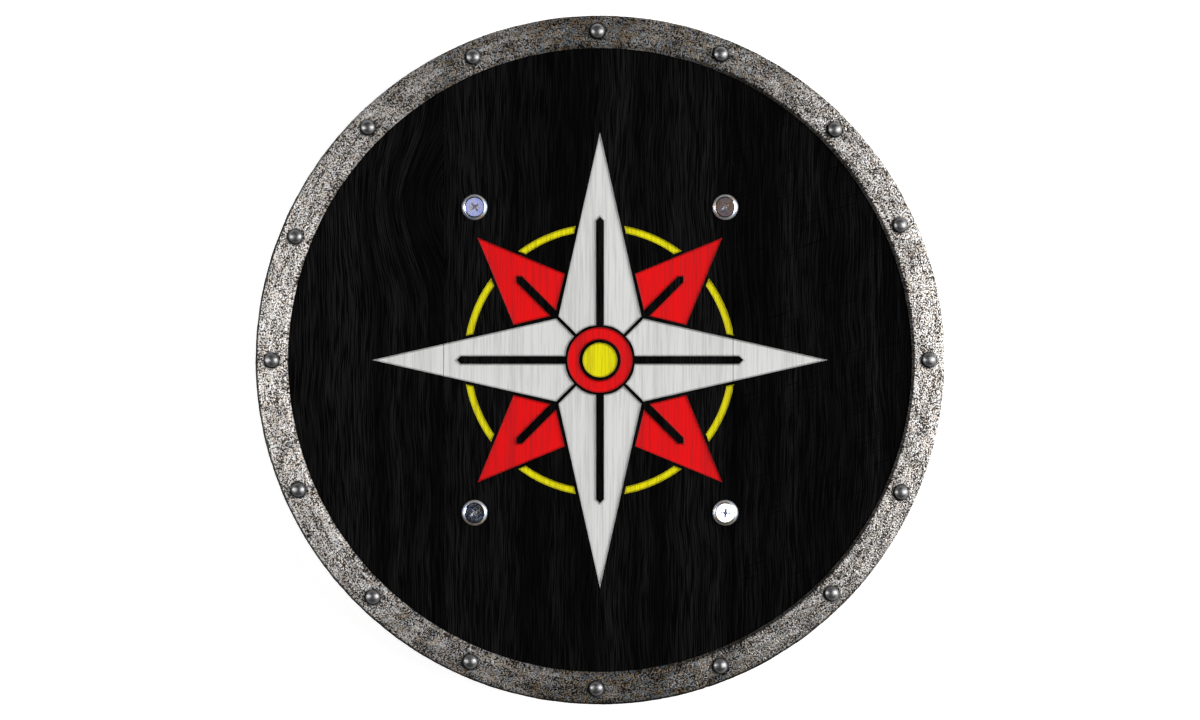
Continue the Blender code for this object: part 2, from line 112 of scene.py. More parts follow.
# Compass rose, as routed into the planks
ROSE_DEPTH = 0.0012
ROSE_LINE = 0.0026
ROSE_LONG_TIP = 0.150
ROSE_SHORT_TIP = 0.113
ROSE_NECK_RADIUS = 0.039
ROSE_SHORT_SHARE = 0.23
ROSE_SLOT_WIDTH = 0.0030
ROSE_LONG_SLOT_END = 0.090
ROSE_SHORT_SLOT_END = 0.074
ROSE_EYE_RADIUS = 0.0215
ROSE_HUB_RING_OUTER = 0.0205
ROSE_HUB_RING_INNER = 0.0135
ROSE_HUB_DISC_RADIUS = 0.0108
ROSE_CIRCLE_OUTER = 0.0880
ROSE_CIRCLE_INNER = 0.0815
ROSE_ARC_STEP_DEG = 2.0
ROSE_CORNER_CLEAR = 0.0050

# How finely round forms are drawn, how far a cutter passes the face it cuts, and when two places are the same
RIM_SIDES = 1440
BOARD_SIDES = 240
HUB_SIDES = 120
BOLT_SIDES = 96
NUT_SIDES = 64
RIVET_SIDES = 40
BORE_SIDES = 32
HOLE_SIDES = 24
OVERSHOOT = 0.001
SAME_PLACE = 0.000001

RIVET_NODES = [f"rim_rivet_{i:02d}" for i in range(1, RIVET_COUNT + 1)]
BOLT_NODES = [f"strap_bolt_{i}" for i in range(1, BOLT_COUNT + 1)]
WASHER_NODES = [f"strap_washer_{i}" for i in range(1, BOLT_COUNT + 1)]
NUT_NODES = [f"strap_nut_{i}" for i in range(1, BOLT_COUNT + 1)]

board_low, board_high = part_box("plank_middle")
BOARD_BACK_Z, BOARD_FRONT_Z = board_low.z, board_high.z
BOARD_RADIUS = SHIELD_RADIUS - RIM_THICKNESS - FIT_GAP
rim_low, rim_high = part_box("rim")
RIM_BACK_Z, RIM_CROWN_Z = rim_low.z, rim_high.z
RIM_FRONT_Z = RIM_CROWN_Z - RIM_CROWN
RIVET_CIRCLE_RADIUS = SHIELD_RADIUS - RIM_FACE_WIDTH / 2
BOLT_HEAD_TOP_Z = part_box(BOLT_NODES[0])[1].z


# Small helpers

def linear(hex_colour):
    """An sRGB hex colour as the linear RGBA that shaders take."""
    parts = [int(hex_colour[i : i + 2], 16) / 255 for i in (1, 3, 5)]
    return [c / 12.92 if c <= 0.04045 else ((c + 0.055) / 1.055) ** 2.4 for c in parts] + [1.0]


def connect(tree, node, inputs):
    """Set a node's inputs to values, or link them to other nodes' outputs."""
    for socket, value in inputs.items():
        if isinstance(value, bpy.types.NodeSocket):
            tree.links.new(value, node.inputs[socket])
        else:
            node.inputs[socket].default_value = value


def add(tree, kind, inputs=None, output=0, **settings):
    """A new node with its inputs and settings. Gives the output asked for, or the node itself for None."""
    node = tree.nodes.new(kind)
    for name, value in settings.items():
        setattr(node, name, value)
    connect(tree, node, inputs or {})
    return node if output is None else node.outputs[output]


def place(name, mesh, nodes, materials=()):
    """A finished piece that stands for its solids and rides with the shield."""
    for finish in materials:
        mesh.materials.append(finish)
    obj = loose(name, mesh)
    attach(obj, "root")
    if nodes:
        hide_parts(*nodes)


def loose(name, data):
    """An object in the scene, which on its own stands for nothing."""
    obj = bpy.data.objects.new(name, data)
    bpy.context.scene.collection.objects.link(obj)
    return obj


def middles(nodes):
    """The (x, y) middle of each of these solids."""
    return [tuple(((low + high) / 2).xy) for low, high in map(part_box, nodes)]


def spots_at(name, points, height):
    """An object with a lone vertex at each (x, y) point, at that height."""
    mesh = bpy.data.meshes.new(name)
    mesh.from_pydata([(x, y, height) for x, y in points], [], [])
    return loose(name, mesh)


def evaluated_mesh(obj, name):
    """The object's mesh with its modifiers in it. The object is removed."""
    bpy.context.view_layer.update()
    graph = bpy.context.evaluated_depsgraph_get()
    mesh = bpy.data.meshes.new_from_object(obj.evaluated_get(graph))
    mesh.name = name
    bpy.data.objects.remove(obj, do_unlink=True)
    return mesh


def drawn_mesh(name, work):
    """A mesh from what was drawn face by face."""
    mesh = bpy.data.meshes.new(name)
    work.to_mesh(mesh)
    work.free()
    return mesh


def turned_mesh(name, profile, sides, closed=False):
    """A profile of (radius, height) points, down its outer side, turned about the Z axis."""
    mesh = bpy.data.meshes.new(name)
    ends = len(profile) if closed else len(profile) - 1
    edges = [(i, (i + 1) % len(profile)) for i in range(ends)]
    mesh.from_pydata([(r, 0.0, z) for r, z in profile], edges, [])
    obj = loose(name, mesh)
    screw = obj.modifiers.new("turn", "SCREW")
    screw.axis = "Z"
    screw.angle = math.tau
    screw.steps = screw.render_steps = sides
    screw.use_merge_vertices = True
    screw.merge_threshold = 0.000002
    screw.use_smooth_shade = True
    made = evaluated_mesh(obj, name)
    made.shade_smooth()
    made.set_sharp_from_angle(angle=math.radians(40))
    return made


def walls_between(work, rings):
    """Quads from each ring of points to the next one."""
    for upper, lower in zip(rings, rings[1:]):
        for i in range(len(upper)):
            j = (i + 1) % len(upper)
            work.faces.new((upper[i], lower[i], lower[j], upper[j]))


def capped_walls(work, rings):
    """The same, with a face over the first ring and one over the last."""
    walls_between(work, rings)
    work.faces.new(rings[0])
    work.faces.new(rings[-1][::-1])


def with_nodes(obj, tree, values):
    """The object under a tree of geometry nodes, whose named inputs are set."""
    modifier = obj.modifiers.new(tree.name, "NODES")
    modifier.node_group = tree
    for item in tree.interface.items_tree:
        if item.item_type == "SOCKET" and item.in_out == "INPUT" and item.name in values:
            modifier[item.identifier] = values[item.name]
    return obj


def new_shape_tree(name, inputs):
    """Geometry nodes with geometry in and out and these named inputs: the tree, and what it is given."""
    tree = bpy.data.node_groups.new(name, "GeometryNodeTree")
    tree.interface.new_socket(name="Geometry", in_out="INPUT", socket_type="NodeSocketGeometry")
    for input_name, kind in inputs.items():
        tree.interface.new_socket(name=input_name, in_out="INPUT", socket_type="NodeSocket" + kind)
    tree.interface.new_socket(name="Geometry", in_out="OUTPUT", socket_type="NodeSocketGeometry")
    return tree, add(tree, "NodeGroupInput", output=None).outputs


def finish_shape_tree(tree, geometry, material):
    """The end of a tree of geometry nodes: copies are made real and given their material."""
    whole = add(tree, "GeometryNodeRealizeInstances", {0: geometry})
    dressed = add(tree, "GeometryNodeSetMaterial", {"Geometry": whole, "Material": material})
    add(tree, "NodeGroupOutput", {0: dressed}, output=None)
    return tree


# Materials

# A Map Range takes its value at input 0, holds it between 1 and 2 and stretches it to run from 3 to 4, each
# pair being 0 and 1 where not said. A Mix goes from the colour at input 6 to the one at 7 as input 0 rises to
# 1, and its output is 2.

def new_material(name):
    """A node material, its tree, its shader and its object coordinates."""
    made = bpy.data.materials.new(name)
    made.use_nodes = True
    tree = made.node_tree
    return made, tree, tree.nodes["Principled BSDF"], add(tree, "ShaderNodeTexCoord", output="Object")


def mottle(tree, at, per_metre, shift=(0, 0, 0), detail=2.0, rough=0.5):
    """Soft patches from 0 to 1, with so many to a metre along each axis."""
    at = add(tree, "ShaderNodeMapping", {"Vector": at, "Location": shift, "Scale": per_metre})
    return add(tree, "ShaderNodeTexNoise", {"Vector": at, "Scale": 1.0, "Detail": detail, "Roughness": rough})


# The left plank's knot: its middle, how steeply its pull on the fibres fades, to the metre, how far it bows
# them, and the line that bounds its dark heart
KNOT_AT = (-0.105, 0.09885)
KNOT_FADE = 26
KNOT_BOW = 0.022
KNOT_HEART_X = -0.1077


def grain_flow(tree, coords, seed, knot):
    """Coordinates bent as the fibres run."""
    # The grain wanders some 2 mm sideways over about 70 mm of length
    sway = mottle(tree, coords, (14, 14, 5), (seed, seed, 0))
    bent = add(tree, "ShaderNodeMapRange", {0: sway, 3: -0.005, 4: 0.005})
    if knot:
        # Round the knot the fibres bow out to the left, over some 80 mm of length
        off = (-KNOT_AT[0] * KNOT_FADE, -KNOT_AT[1] * KNOT_FADE, 0)
        scale = (KNOT_FADE, KNOT_FADE, 0)
        local = add(tree, "ShaderNodeMapping", {"Vector": coords, "Location": off, "Scale": scale})
        reach = add(tree, "ShaderNodeVectorMath", {0: local, 1: local}, "Value", operation="DOT_PRODUCT")
        fall = add(tree, "ShaderNodeMath", {0: reach, 1: -1.0}, operation="MULTIPLY")
        swell = add(tree, "ShaderNodeMath", {0: fall}, operation="EXPONENT")
        bow = add(tree, "ShaderNodeMath", {0: swell, 1: KNOT_BOW}, operation="MULTIPLY")
        bent = add(tree, "ShaderNodeMath", {0: bent, 1: bow}, operation="ADD")
    sideways = add(tree, "ShaderNodeCombineXYZ", {"X": bent})
    return add(tree, "ShaderNodeVectorMath", {0: coords, 1: sideways}, operation="ADD")


def with_dark_heart(tree, grain_at, band):
    """The bands' tone, darker inside the bow round the knot and nearly black on the line that bounds it."""
    across = add(tree, "ShaderNodeSeparateXYZ", {0: grain_at})
    heart = {0: across, 1: KNOT_HEART_X - 0.0003, 2: KNOT_HEART_X + 0.0003, 3: 1.0, 4: 0.35}
    heart = add(tree, "ShaderNodeMapRange", heart)
    lifted = add(tree, "ShaderNodeMath", {0: band, 1: 0.1}, operation="ADD")
    band = add(tree, "ShaderNodeMath", {0: lifted, 1: heart}, operation="MULTIPLY")
    apart = add(tree, "ShaderNodeMath", {0: across, 1: KNOT_HEART_X}, operation="SUBTRACT")
    apart = add(tree, "ShaderNodeMath", {0: apart}, operation="ABSOLUTE")
    line = add(tree, "ShaderNodeMapRange", {0: apart, 1: 0.0004, 2: 0.0010})
    return add(tree, "ShaderNodeMath", {0: band, 1: line}, operation="MULTIPLY")


def stained_wood(name, light, seed, knot=False, checks=0.0, scuffs=0.0):
    """Open-grained softwood, brushed and stained black: bands of early and late wood barely part on the
    black, and the hard fibres catch a little grey, so the face reads as fine upright lines."""
    made, tree, shader, coords = new_material(name)
    grain_at = grain_flow(tree, coords, seed, knot)
    # Fibres 0.7 mm across and 35 mm long, with finer ones of 0.35 mm among them
    fibres = mottle(tree, grain_at, (1450, 28, 90), (seed * 3, 0, 0), 2.0, 0.6)
    # Pores 0.65 mm across and 25 mm long, nearly twice life size so that they show
    pores = mottle(tree, grain_at, (1550, 40, 300), (0, seed * 5, 0), 1.0)
    pores = add(tree, "ShaderNodeMapRange", {0: pores, 1: 0.48, 2: 0.56})
    # Bands of early and late wood, 14 mm across, and streaks of 4 mm
    bands = mottle(tree, grain_at, (72, 2, 10), (seed * 2, 0, 0), 1.0)
    bands = add(tree, "ShaderNodeMapRange", {0: bands, 1: 0.34, 2: 0.66, 3: 0.05, 4: 0.65})
    streaks = mottle(tree, grain_at, (260, 4, 10), (seed * 7, 0, 0), 1.0)
    streaks = add(tree, "ShaderNodeMapRange", {0: streaks, 1: 0.35, 2: 0.75, 4: 0.2})
    band = add(tree, "ShaderNodeMath", {0: bands, 1: streaks}, operation="ADD")
    if knot:
        band = with_dark_heart(tree, grain_at, band)
    band = add(tree, "ShaderNodeMath", {0: band, 1: 0.12}, operation="ADD")
    hard = add(tree, "ShaderNodeMapRange", {0: fibres, 1: 0.40, 2: 0.60, 3: 0.35})
    tone = add(tree, "ShaderNodeMath", {0: hard, 1: band}, operation="MULTIPLY")
    if checks:
        # Dry checks 1 mm wide that run with the grain
        open_at = mottle(tree, grain_at, (520, 9, 20), (seed * 9, 0, 0))
        shut = add(tree, "ShaderNodeMapRange", {0: open_at, 1: 0.58, 2: 0.64, 3: 1.0, 4: 1.0 - checks})
        tone = add(tree, "ShaderNodeMath", {0: tone, 1: shut}, operation="MULTIPLY")
    if scuffs:
        # Scuffs 0.4 mm wide that run down to the left across the grain
        turned = add(tree, "ShaderNodeMapping", {"Vector": coords, "Rotation": (0, 0, math.radians(72))})
        scuffed = mottle(tree, turned, (900, 30, 20), (seed, 0, 0), 1.0)
        whole = add(tree, "ShaderNodeMapRange", {0: scuffed, 1: 0.62, 2: 0.70, 3: 1.0, 4: 1.0 - scuffs})
        tone = add(tree, "ShaderNodeMath", {0: tone, 1: whole}, operation="MULTIPLY")
    between_pores = add(tree, "ShaderNodeMapRange", {0: pores, 3: 1.0, 4: 0.10})
    tone = add(tree, "ShaderNodeMath", {0: tone, 1: between_pores}, operation="MULTIPLY")
    stain = {0: tone, 6: linear("#020202"), 7: linear(light)}
    raised = add(tree, "ShaderNodeMath", {0: fibres, 1: 0.8}, operation="MULTIPLY")
    sunk = add(tree, "ShaderNodeMath", {0: pores, 1: 0.6}, operation="MULTIPLY")
    height = add(tree, "ShaderNodeMath", {0: raised, 1: sunk}, operation="SUBTRACT")
    connect(tree, shader, {
        "Base Color": add(tree, "ShaderNodeMix", stain, 2, data_type="RGBA"),
        "Roughness": add(tree, "ShaderNodeMapRange", {0: tone, 3: 0.66, 4: 0.50}),
        "Normal": add(tree, "ShaderNodeBump", {"Strength": 0.5, "Distance": 0.00030, "Height": height}),
        "Specular IOR Level": 0.012,
    })
    return made


def painted_wood(name, flat, streak, seed):
    """Satin enamel brushed into the routed wood: one flat colour, with the grain telegraphing through it as
    faint upright streaks."""
    made, tree, shader, coords = new_material(name)
    # Fibres 1 mm across show through, with finer ones of 0.5 mm, and broad streaks of 8 mm
    fibres = mottle(tree, coords, (900, 26, 60), (seed, 0, 0), 3.0, 0.6)
    thin = add(tree, "ShaderNodeMapRange", {0: fibres, 1: 0.46, 2: 0.68})
    broad = mottle(tree, coords, (120, 6, 10), (seed * 2, 0, 0), 1.0)
    broad = add(tree, "ShaderNodeMapRange", {0: broad, 1: 0.48, 2: 0.75, 4: 0.5})
    thin = add(tree, "ShaderNodeMath", {0: thin, 1: broad}, operation="ADD")
    mixed = {0: thin, 6: linear(flat), 7: linear(streak)}
    mixed = add(tree, "ShaderNodeMix", mixed, 2, data_type="RGBA")
    # Painted shade on the sides of the cut: from just above the floor upwards, the paint is mixed nearly half
    # way to black
    up = add(tree, "ShaderNodeSeparateXYZ", {0: coords}, "Z")
    floor_z = BOARD_FRONT_Z - ROSE_DEPTH
    side = {0: up, 1: floor_z + 0.00001, 2: floor_z + 0.00025, 4: 0.45}
    side = add(tree, "ShaderNodeMapRange", side)
    colour = {0: side, 6: mixed, 7: linear("#1b1a1a")}
    connect(tree, shader, {
        "Base Color": add(tree, "ShaderNodeMix", colour, 2, data_type="RGBA"),
        "Roughness": add(tree, "ShaderNodeMapRange", {0: fibres, 1: 0.3, 2: 0.7, 3: 0.48, 4: 0.60}),
        "Normal": add(tree, "ShaderNodeBump", {"Strength": 0.25, "Distance": 0.00015, "Height": fibres}),
        "Specular IOR Level": 0.15,
    })
    return made


def from_axis(tree, coords):
    """How far out from the shield's axis a point lies, and the flat way to it."""
    flat = add(tree, "ShaderNodeVectorMath", {0: coords, 1: (1, 1, 0)}, operation="MULTIPLY")
    return add(tree, "ShaderNodeVectorMath", {0: flat}, "Value", operation="LENGTH"), flat


def strip_mottle(tree, coords, along, across, detail, rough):
    """Soft patches from 0 to 1 on the rim, so many to a metre along and across its strip, without a join."""
    out, flat = from_axis(tree, coords)
    heading = add(tree, "ShaderNodeVectorMath", {0: flat}, operation="NORMALIZE")
    laid = {0: heading, "Scale": along * RIVET_CIRCLE_RADIUS}
    laid = add(tree, "ShaderNodeVectorMath", laid, operation="SCALE")
    up = add(tree, "ShaderNodeSeparateXYZ", {0: coords}, "Z")
    wrapped = add(tree, "ShaderNodeMath", {0: out, 1: up}, operation="SUBTRACT")
    wrapped = add(tree, "ShaderNodeMath", {0: wrapped, 1: across}, operation="MULTIPLY")
    lifted = add(tree, "ShaderNodeCombineXYZ", {"Z": wrapped})
    at = add(tree, "ShaderNodeVectorMath", {0: laid, 1: lifted}, operation="ADD")
    return add(tree, "ShaderNodeTexNoise", {"Vector": at, "Scale": 1.0, "Detail": detail, "Roughness": rough})


def sheen_and_wear_share(tree, coords, clouds):
    """How light the iron's colour is: a painted highlight, most on the shield's two sides, made uneven by
    worn places, and less under thick oxide.
    """
    # Painted highlight: lighter the further a point lies to the left or right
    sideways = add(tree, "ShaderNodeSeparateXYZ", {0: coords}, "X")
    painted_side_sheen = add(tree, "ShaderNodeMath", {0: sideways}, operation="ABSOLUTE")
    painted_side_sheen = add(tree, "ShaderNodeMapRange", {0: painted_side_sheen, 1: 0.02, 2: 0.17})
    # Worn places 30 mm across
    worn = mottle(tree, coords, (34, 34, 34), (7, 2, 0))
    worn = add(tree, "ShaderNodeMapRange", {0: worn, 1: 0.35, 2: 0.65, 3: -0.15, 4: 0.15})
    bare = add(tree, "ShaderNodeMapRange", {0: clouds, 1: 0.35, 2: 0.65, 3: -0.30, 4: 0.22})
    rubbed = add(tree, "ShaderNodeMath", {0: painted_side_sheen, 1: worn}, operation="ADD")
    return add(tree, "ShaderNodeMath", {0: rubbed, 1: bare}, operation="ADD")


def painted_edge_shade(tree, coords):
    """Painted shade on the rim's edges that face away from the light: on the bevelled lip, most on its right
    side, and on the lower left of the rounded outer edge."""
    out, _ = from_axis(tree, coords)
    apart = add(tree, "ShaderNodeSeparateXYZ", {0: coords}, output=None)
    lip_end = SHIELD_RADIUS - RIM_FACE_WIDTH + RIM_LIP_BEVEL_WIDTH
    lip = {0: out, 1: lip_end - 0.0007, 2: lip_end - 0.0002, 3: 1.0, 4: 0.0}
    lip = add(tree, "ShaderNodeMapRange", lip)
    to_right = add(tree, "ShaderNodeMapRange", {0: apart.outputs["X"], 1: 0.02, 2: 0.09, 3: 0.3})
    lip = add(tree, "ShaderNodeMath", {0: lip, 1: to_right}, operation="MULTIPLY")
    edge = {0: out, 1: SHIELD_RADIUS - 2 * RIM_EDGE_ROUND, 2: SHIELD_RADIUS - 0.0013}
    edge = add(tree, "ShaderNodeMapRange", edge)
    leaning = add(tree, "ShaderNodeMath", {0: apart.outputs["X"], 1: 0.9}, operation="MULTIPLY")
    leaning = add(tree, "ShaderNodeMath", {0: leaning, 1: apart.outputs["Y"]}, operation="ADD")
    lower_left = add(tree, "ShaderNodeMapRange", {0: leaning, 1: -0.10, 2: 0.12, 3: 1.0, 4: 0.0})
    edge = add(tree, "ShaderNodeMath", {0: edge, 1: lower_left}, operation="MULTIPLY")
    return add(tree, "ShaderNodeMath", {0: lip, 1: edge}, operation="MAXIMUM")


def weathered_iron(name):
    """Hot-rolled iron strip, rusted once and wire-brushed along its length: bare grey metal on the high
    grains, brown oxide and black scale in the pits between them, so it looks like coarse wet sand."""
    made, tree, shader, coords = new_material(name)
    # Grains 1.2 mm along the strip and 0.8 mm across, and black specks of 0.9 mm among them
    grains = strip_mottle(tree, coords, 850, 1200, 1.0, 0.6)
    specks = mottle(tree, coords, (1050, 1050, 1050), (4, 4, 0), 1.0, 0.6)
    # Ridges drawn out by the rolls, 14 mm along and 3 mm across, and clouds of thicker oxide, 12 by 6 mm
    ridges = strip_mottle(tree, coords, 70, 330, 2.0, 0.5)
    clouds = strip_mottle(tree, coords, 80, 160, 2.0, 0.6)
    # Patches of warm and cold oxide, 4 mm across with 1 mm ones among them
    tints = mottle(tree, coords, (230, 230, 230), (3, 1, 0), 3.0, 0.75)
    warm = add(tree, "ShaderNodeMapRange", {0: tints, 1: 0.42, 2: 0.58})
    # Painted highlight and real wear: metal and oxide run lighter towards the left and right sides and darker
    # at the top and bottom
    rubbed = sheen_and_wear_share(tree, coords, clouds)
    warm_metal = {0: rubbed, 6: linear("#96836a"), 7: linear("#e6ddd4")}
    warm_metal = add(tree, "ShaderNodeMix", warm_metal, 2, data_type="RGBA")
    cold_metal = {0: rubbed, 6: linear("#868e95"), 7: linear("#f0eeed")}
    cold_metal = add(tree, "ShaderNodeMix", cold_metal, 2, data_type="RGBA")
    metal = add(tree, "ShaderNodeMix", {0: warm, 6: cold_metal, 7: warm_metal}, 2, data_type="RGBA")
    oxide = {0: rubbed, 6: linear("#251c13"), 7: linear("#4e443b")}
    oxide = add(tree, "ShaderNodeMix", oxide, 2, data_type="RGBA")
    # Bare metal where the grains stand high, and black pits where the specks and the ridges fall
    grain_part = add(tree, "ShaderNodeMath", {0: grains, 1: 0.8}, operation="MULTIPLY")
    ridge_part = add(tree, "ShaderNodeMath", {0: ridges, 1: 0.2}, operation="MULTIPLY")
    height = add(tree, "ShaderNodeMath", {0: grain_part, 1: ridge_part}, operation="ADD")
    cleaned = add(tree, "ShaderNodeMapRange", {0: clouds, 1: 0.35, 2: 0.65, 3: -0.02, 4: 0.02})
    bare = add(tree, "ShaderNodeMath", {0: height, 1: cleaned}, operation="ADD")
    bare = add(tree, "ShaderNodeMapRange", {0: bare, 1: 0.43, 2: 0.50})
    pits = add(tree, "ShaderNodeMath", {0: specks, 1: ridge_part}, operation="ADD")
    pits = add(tree, "ShaderNodeMapRange", {0: pits, 1: 0.515, 2: 0.55, 3: 1.0, 4: 0.0})
    black = add(tree, "ShaderNodeMath", {0: pits, 1: 0.95}, operation="MULTIPLY")
    colour = add(tree, "ShaderNodeMix", {0: bare, 6: oxide, 7: metal}, 2, data_type="RGBA")
    colour = add(tree, "ShaderNodeMix", {0: black, 6: colour, 7: linear("#120f0d")}, 2, data_type="RGBA")
    # Painted shade darkens the lip and the outer edge where they turn from the light
    scale = painted_edge_shade(tree, coords)
    edge_shade_mix = add(tree, "ShaderNodeMath", {0: scale, 1: 0.92}, operation="MULTIPLY")
    colour = add(tree, "ShaderNodeMix", {0: edge_shade_mix, 6: colour, 7: linear("#221f1c")}, 2, data_type="RGBA")
    # Painted shadow round the foot of each rivet, where its head meets the rim
    away = add(tree, "ShaderNodeAttribute", output="Fac", attribute_name="from_rivet")
    rivet_contact_shadow = {0: away, 1: RIVET_HEAD_RADIUS + 0.0001, 2: RIVET_HEAD_RADIUS + 0.0014, 3: 0.85, 4: 0.0}
    rivet_contact_shadow = add(tree, "ShaderNodeMapRange", rivet_contact_shadow)
    colour = add(tree, "ShaderNodeMix", {0: rivet_contact_shadow, 6: colour, 7: linear("#14110f")}, 2, data_type="RGBA")
    sunk = add(tree, "ShaderNodeMath", {0: pits, 1: 0.25}, operation="MULTIPLY")
    relief = add(tree, "ShaderNodeMath", {0: height, 1: sunk}, operation="SUBTRACT")
    smooth = add(tree, "ShaderNodeMath", {0: bare, 1: scale}, operation="SUBTRACT")
    connect(tree, shader, {
        "Base Color": colour,
        "Roughness": add(tree, "ShaderNodeMapRange", {0: smooth, 3: 0.62, 4: 0.44}),
        "Normal": add(tree, "ShaderNodeBump", {"Strength": 0.9, "Distance": 0.0007, "Height": relief}),
        "Tangent": add(tree, "ShaderNodeTangent", direction_type="RADIAL", axis="Z"),
        "Metallic": 0.85,
        "Anisotropic": 0.7,
        "Anisotropic Rotation": 0.25,
    })
    return made


def dark_rivet_steel(name):
    """Forged mild steel, oiled black and rubbed by wear: a dark mirror-like dome with soft lights on its
    sides."""
    made, tree, shader, coords = new_material(name)
    # Hammer facets 2 mm across, and scuffs of 0.5 mm
    facets = mottle(tree, coords, (500, 500, 500), detail=1.0)
    scuffs = mottle(tree, coords, (2000, 2000, 2000))
    rubbed = add(tree, "ShaderNodeMapRange", {0: scuffs, 1: 0.4, 2: 0.65})
    steel = {0: rubbed, 6: linear("#7e7e80"), 7: linear("#9c9b9b")}
    steel = add(tree, "ShaderNodeMix", steel, 2, data_type="RGBA")
    # Painted shade round the foot of each head, where it meets the rim, higher at the left and below, away
    # from the light; the tails at the back have none
    up = add(tree, "ShaderNodeSeparateXYZ", {0: coords}, "Z")
    facing = add(tree, "ShaderNodeNewGeometry", output="Normal")
    lean = {0: facing, 1: (0.0009, 0.0007, 0.0)}
    lean = add(tree, "ShaderNodeVectorMath", lean, "Value", operation="DOT_PRODUCT")
    leaned = add(tree, "ShaderNodeMath", {0: up, 1: lean}, operation="ADD")
    foot_shade = {0: leaned, 1: RIM_CROWN_Z + 0.0014, 2: RIM_CROWN_Z + 0.0026, 3: 1.0, 4: 0.0}
    foot_shade = add(tree, "ShaderNodeMapRange", foot_shade)
    front = add(tree, "ShaderNodeMapRange", {0: up, 1: RIM_CROWN_Z - 0.004, 2: RIM_CROWN_Z - 0.003})
    foot_shade = add(tree, "ShaderNodeMath", {0: foot_shade, 1: front}, operation="MULTIPLY")
    shallow = add(tree, "ShaderNodeMath", {0: scuffs, 1: 0.25}, operation="MULTIPLY")
    height = add(tree, "ShaderNodeMath", {0: facets, 1: shallow}, operation="ADD")
    colour = {0: foot_shade, 6: steel, 7: linear("#0b0a0a")}
    connect(tree, shader, {
        "Base Color": add(tree, "ShaderNodeMix", colour, 2, data_type="RGBA"),
        "Roughness": add(tree, "ShaderNodeMapRange", {0: scuffs, 1: 0.3, 2: 0.7, 3: 0.33, 4: 0.41}),
        "Normal": add(tree, "ShaderNodeBump", {"Strength": 0.35, "Distance": 0.00025, "Height": height}),
        "Metallic": add(tree, "ShaderNodeMapRange", {0: foot_shade, 3: 1.0, 4: 0.0}),
        "Specular IOR Level": 0.03,
    })
    return made


def zinc_plate(name):
    """Steel plated with bright zinc and passivated: a blue-white mirror, a little wavy, with straw and blue
    tints where the bath dried."""
    made, tree, shader, coords = new_material(name)
    # Tints 4 mm across, waves in the plate of 2 mm and hairline scratches 0.2 mm apart
    tints = mottle(tree, coords, (260, 260, 260), (2, 5, 0))
    waves = mottle(tree, coords, (480, 480, 480))
    scratches = mottle(tree, coords, (4500, 500, 500), (1, 0, 0), 1.0)
    blue = add(tree, "ShaderNodeMapRange", {0: tints, 1: 0.35, 2: 0.50})
    blue = {0: blue, 6: linear("#b4c0dc"), 7: linear("#d8dade")}
    blue = add(tree, "ShaderNodeMix", blue, 2, data_type="RGBA")
    straw = add(tree, "ShaderNodeMapRange", {0: tints, 1: 0.52, 2: 0.66})
    # The turned edge of a head, and all that lies behind it, is left duller than the polished face
    up = add(tree, "ShaderNodeSeparateXYZ", {0: coords}, "Z")
    edge = {0: up, 1: BOLT_HEAD_TOP_Z - 0.0002, 2: BOLT_HEAD_TOP_Z - 0.00002, 3: 0.34, 4: 0.0}
    edge = add(tree, "ShaderNodeMapRange", edge)
    polish = add(tree, "ShaderNodeMapRange", {0: scratches, 1: 0.4, 2: 0.7, 3: 0.02, 4: 0.07})
    shallow = add(tree, "ShaderNodeMath", {0: scratches, 1: 0.10}, operation="MULTIPLY")
    height = add(tree, "ShaderNodeMath", {0: waves, 1: shallow}, operation="ADD")
    colour = {0: straw, 6: blue, 7: linear("#cbb9a0")}
    connect(tree, shader, {
        "Base Color": add(tree, "ShaderNodeMix", colour, 2, data_type="RGBA"),
        "Roughness": add(tree, "ShaderNodeMath", {0: edge, 1: polish}, operation="ADD"),
        "Normal": add(tree, "ShaderNodeBump", {"Strength": 0.25, "Distance": 0.00005, "Height": height}),
        "Metallic": 1.0,
    })
    return made


def waxed_leather(name):
    """Vegetable-tanned cowhide, dyed dark brown and waxed: pebbled pores, a few creases and a soft shine."""
    made, tree, shader, coords = new_material(name)
    # Pebbles 0.9 mm across, drawn twice life size so that they show
    pebbles = {"Vector": coords, "Scale": 1100.0, "Randomness": 1.0}
    pebbles = add(tree, "ShaderNodeTexVoronoi", pebbles, "Distance", feature="DISTANCE_TO_EDGE")
    pebbles = add(tree, "ShaderNodeMapRange", {0: pebbles, 2: 0.25})
    # Creases 2.4 mm apart that cross the strap, and cloudy dye, 22 mm to a cloud
    creases = mottle(tree, coords, (60, 420, 420), (0, 0, 0), 3.0, 0.6)
    cloud = mottle(tree, coords, (45, 45, 45), (4, 0, 0), 3.0)
    dyed = add(tree, "ShaderNodeMapRange", {0: cloud, 1: 0.35, 2: 0.65})
    dye = {0: dyed, 6: linear("#2c1a12"), 7: linear("#4c2e1d")}
    dye = add(tree, "ShaderNodeMix", dye, 2, data_type="RGBA")
    dark_line = add(tree, "ShaderNodeMapRange", {0: creases, 1: 0.60, 2: 0.72, 4: 0.6})
    folds = add(tree, "ShaderNodeMath", {0: creases, 1: 1.4}, operation="MULTIPLY")
    height = add(tree, "ShaderNodeMath", {0: pebbles, 1: folds}, operation="SUBTRACT")
    colour = {0: dark_line, 6: dye, 7: linear("#160d09")}
    connect(tree, shader, {
        "Base Color": add(tree, "ShaderNodeMix", colour, 2, data_type="RGBA"),
        "Roughness": add(tree, "ShaderNodeMapRange", {0: cloud, 1: 0.3, 2: 0.7, 3: 0.42, 4: 0.58}),
        "Normal": add(tree, "ShaderNodeBump", {"Strength": 0.35, "Distance": 0.00025, "Height": height}),
    })
    return made


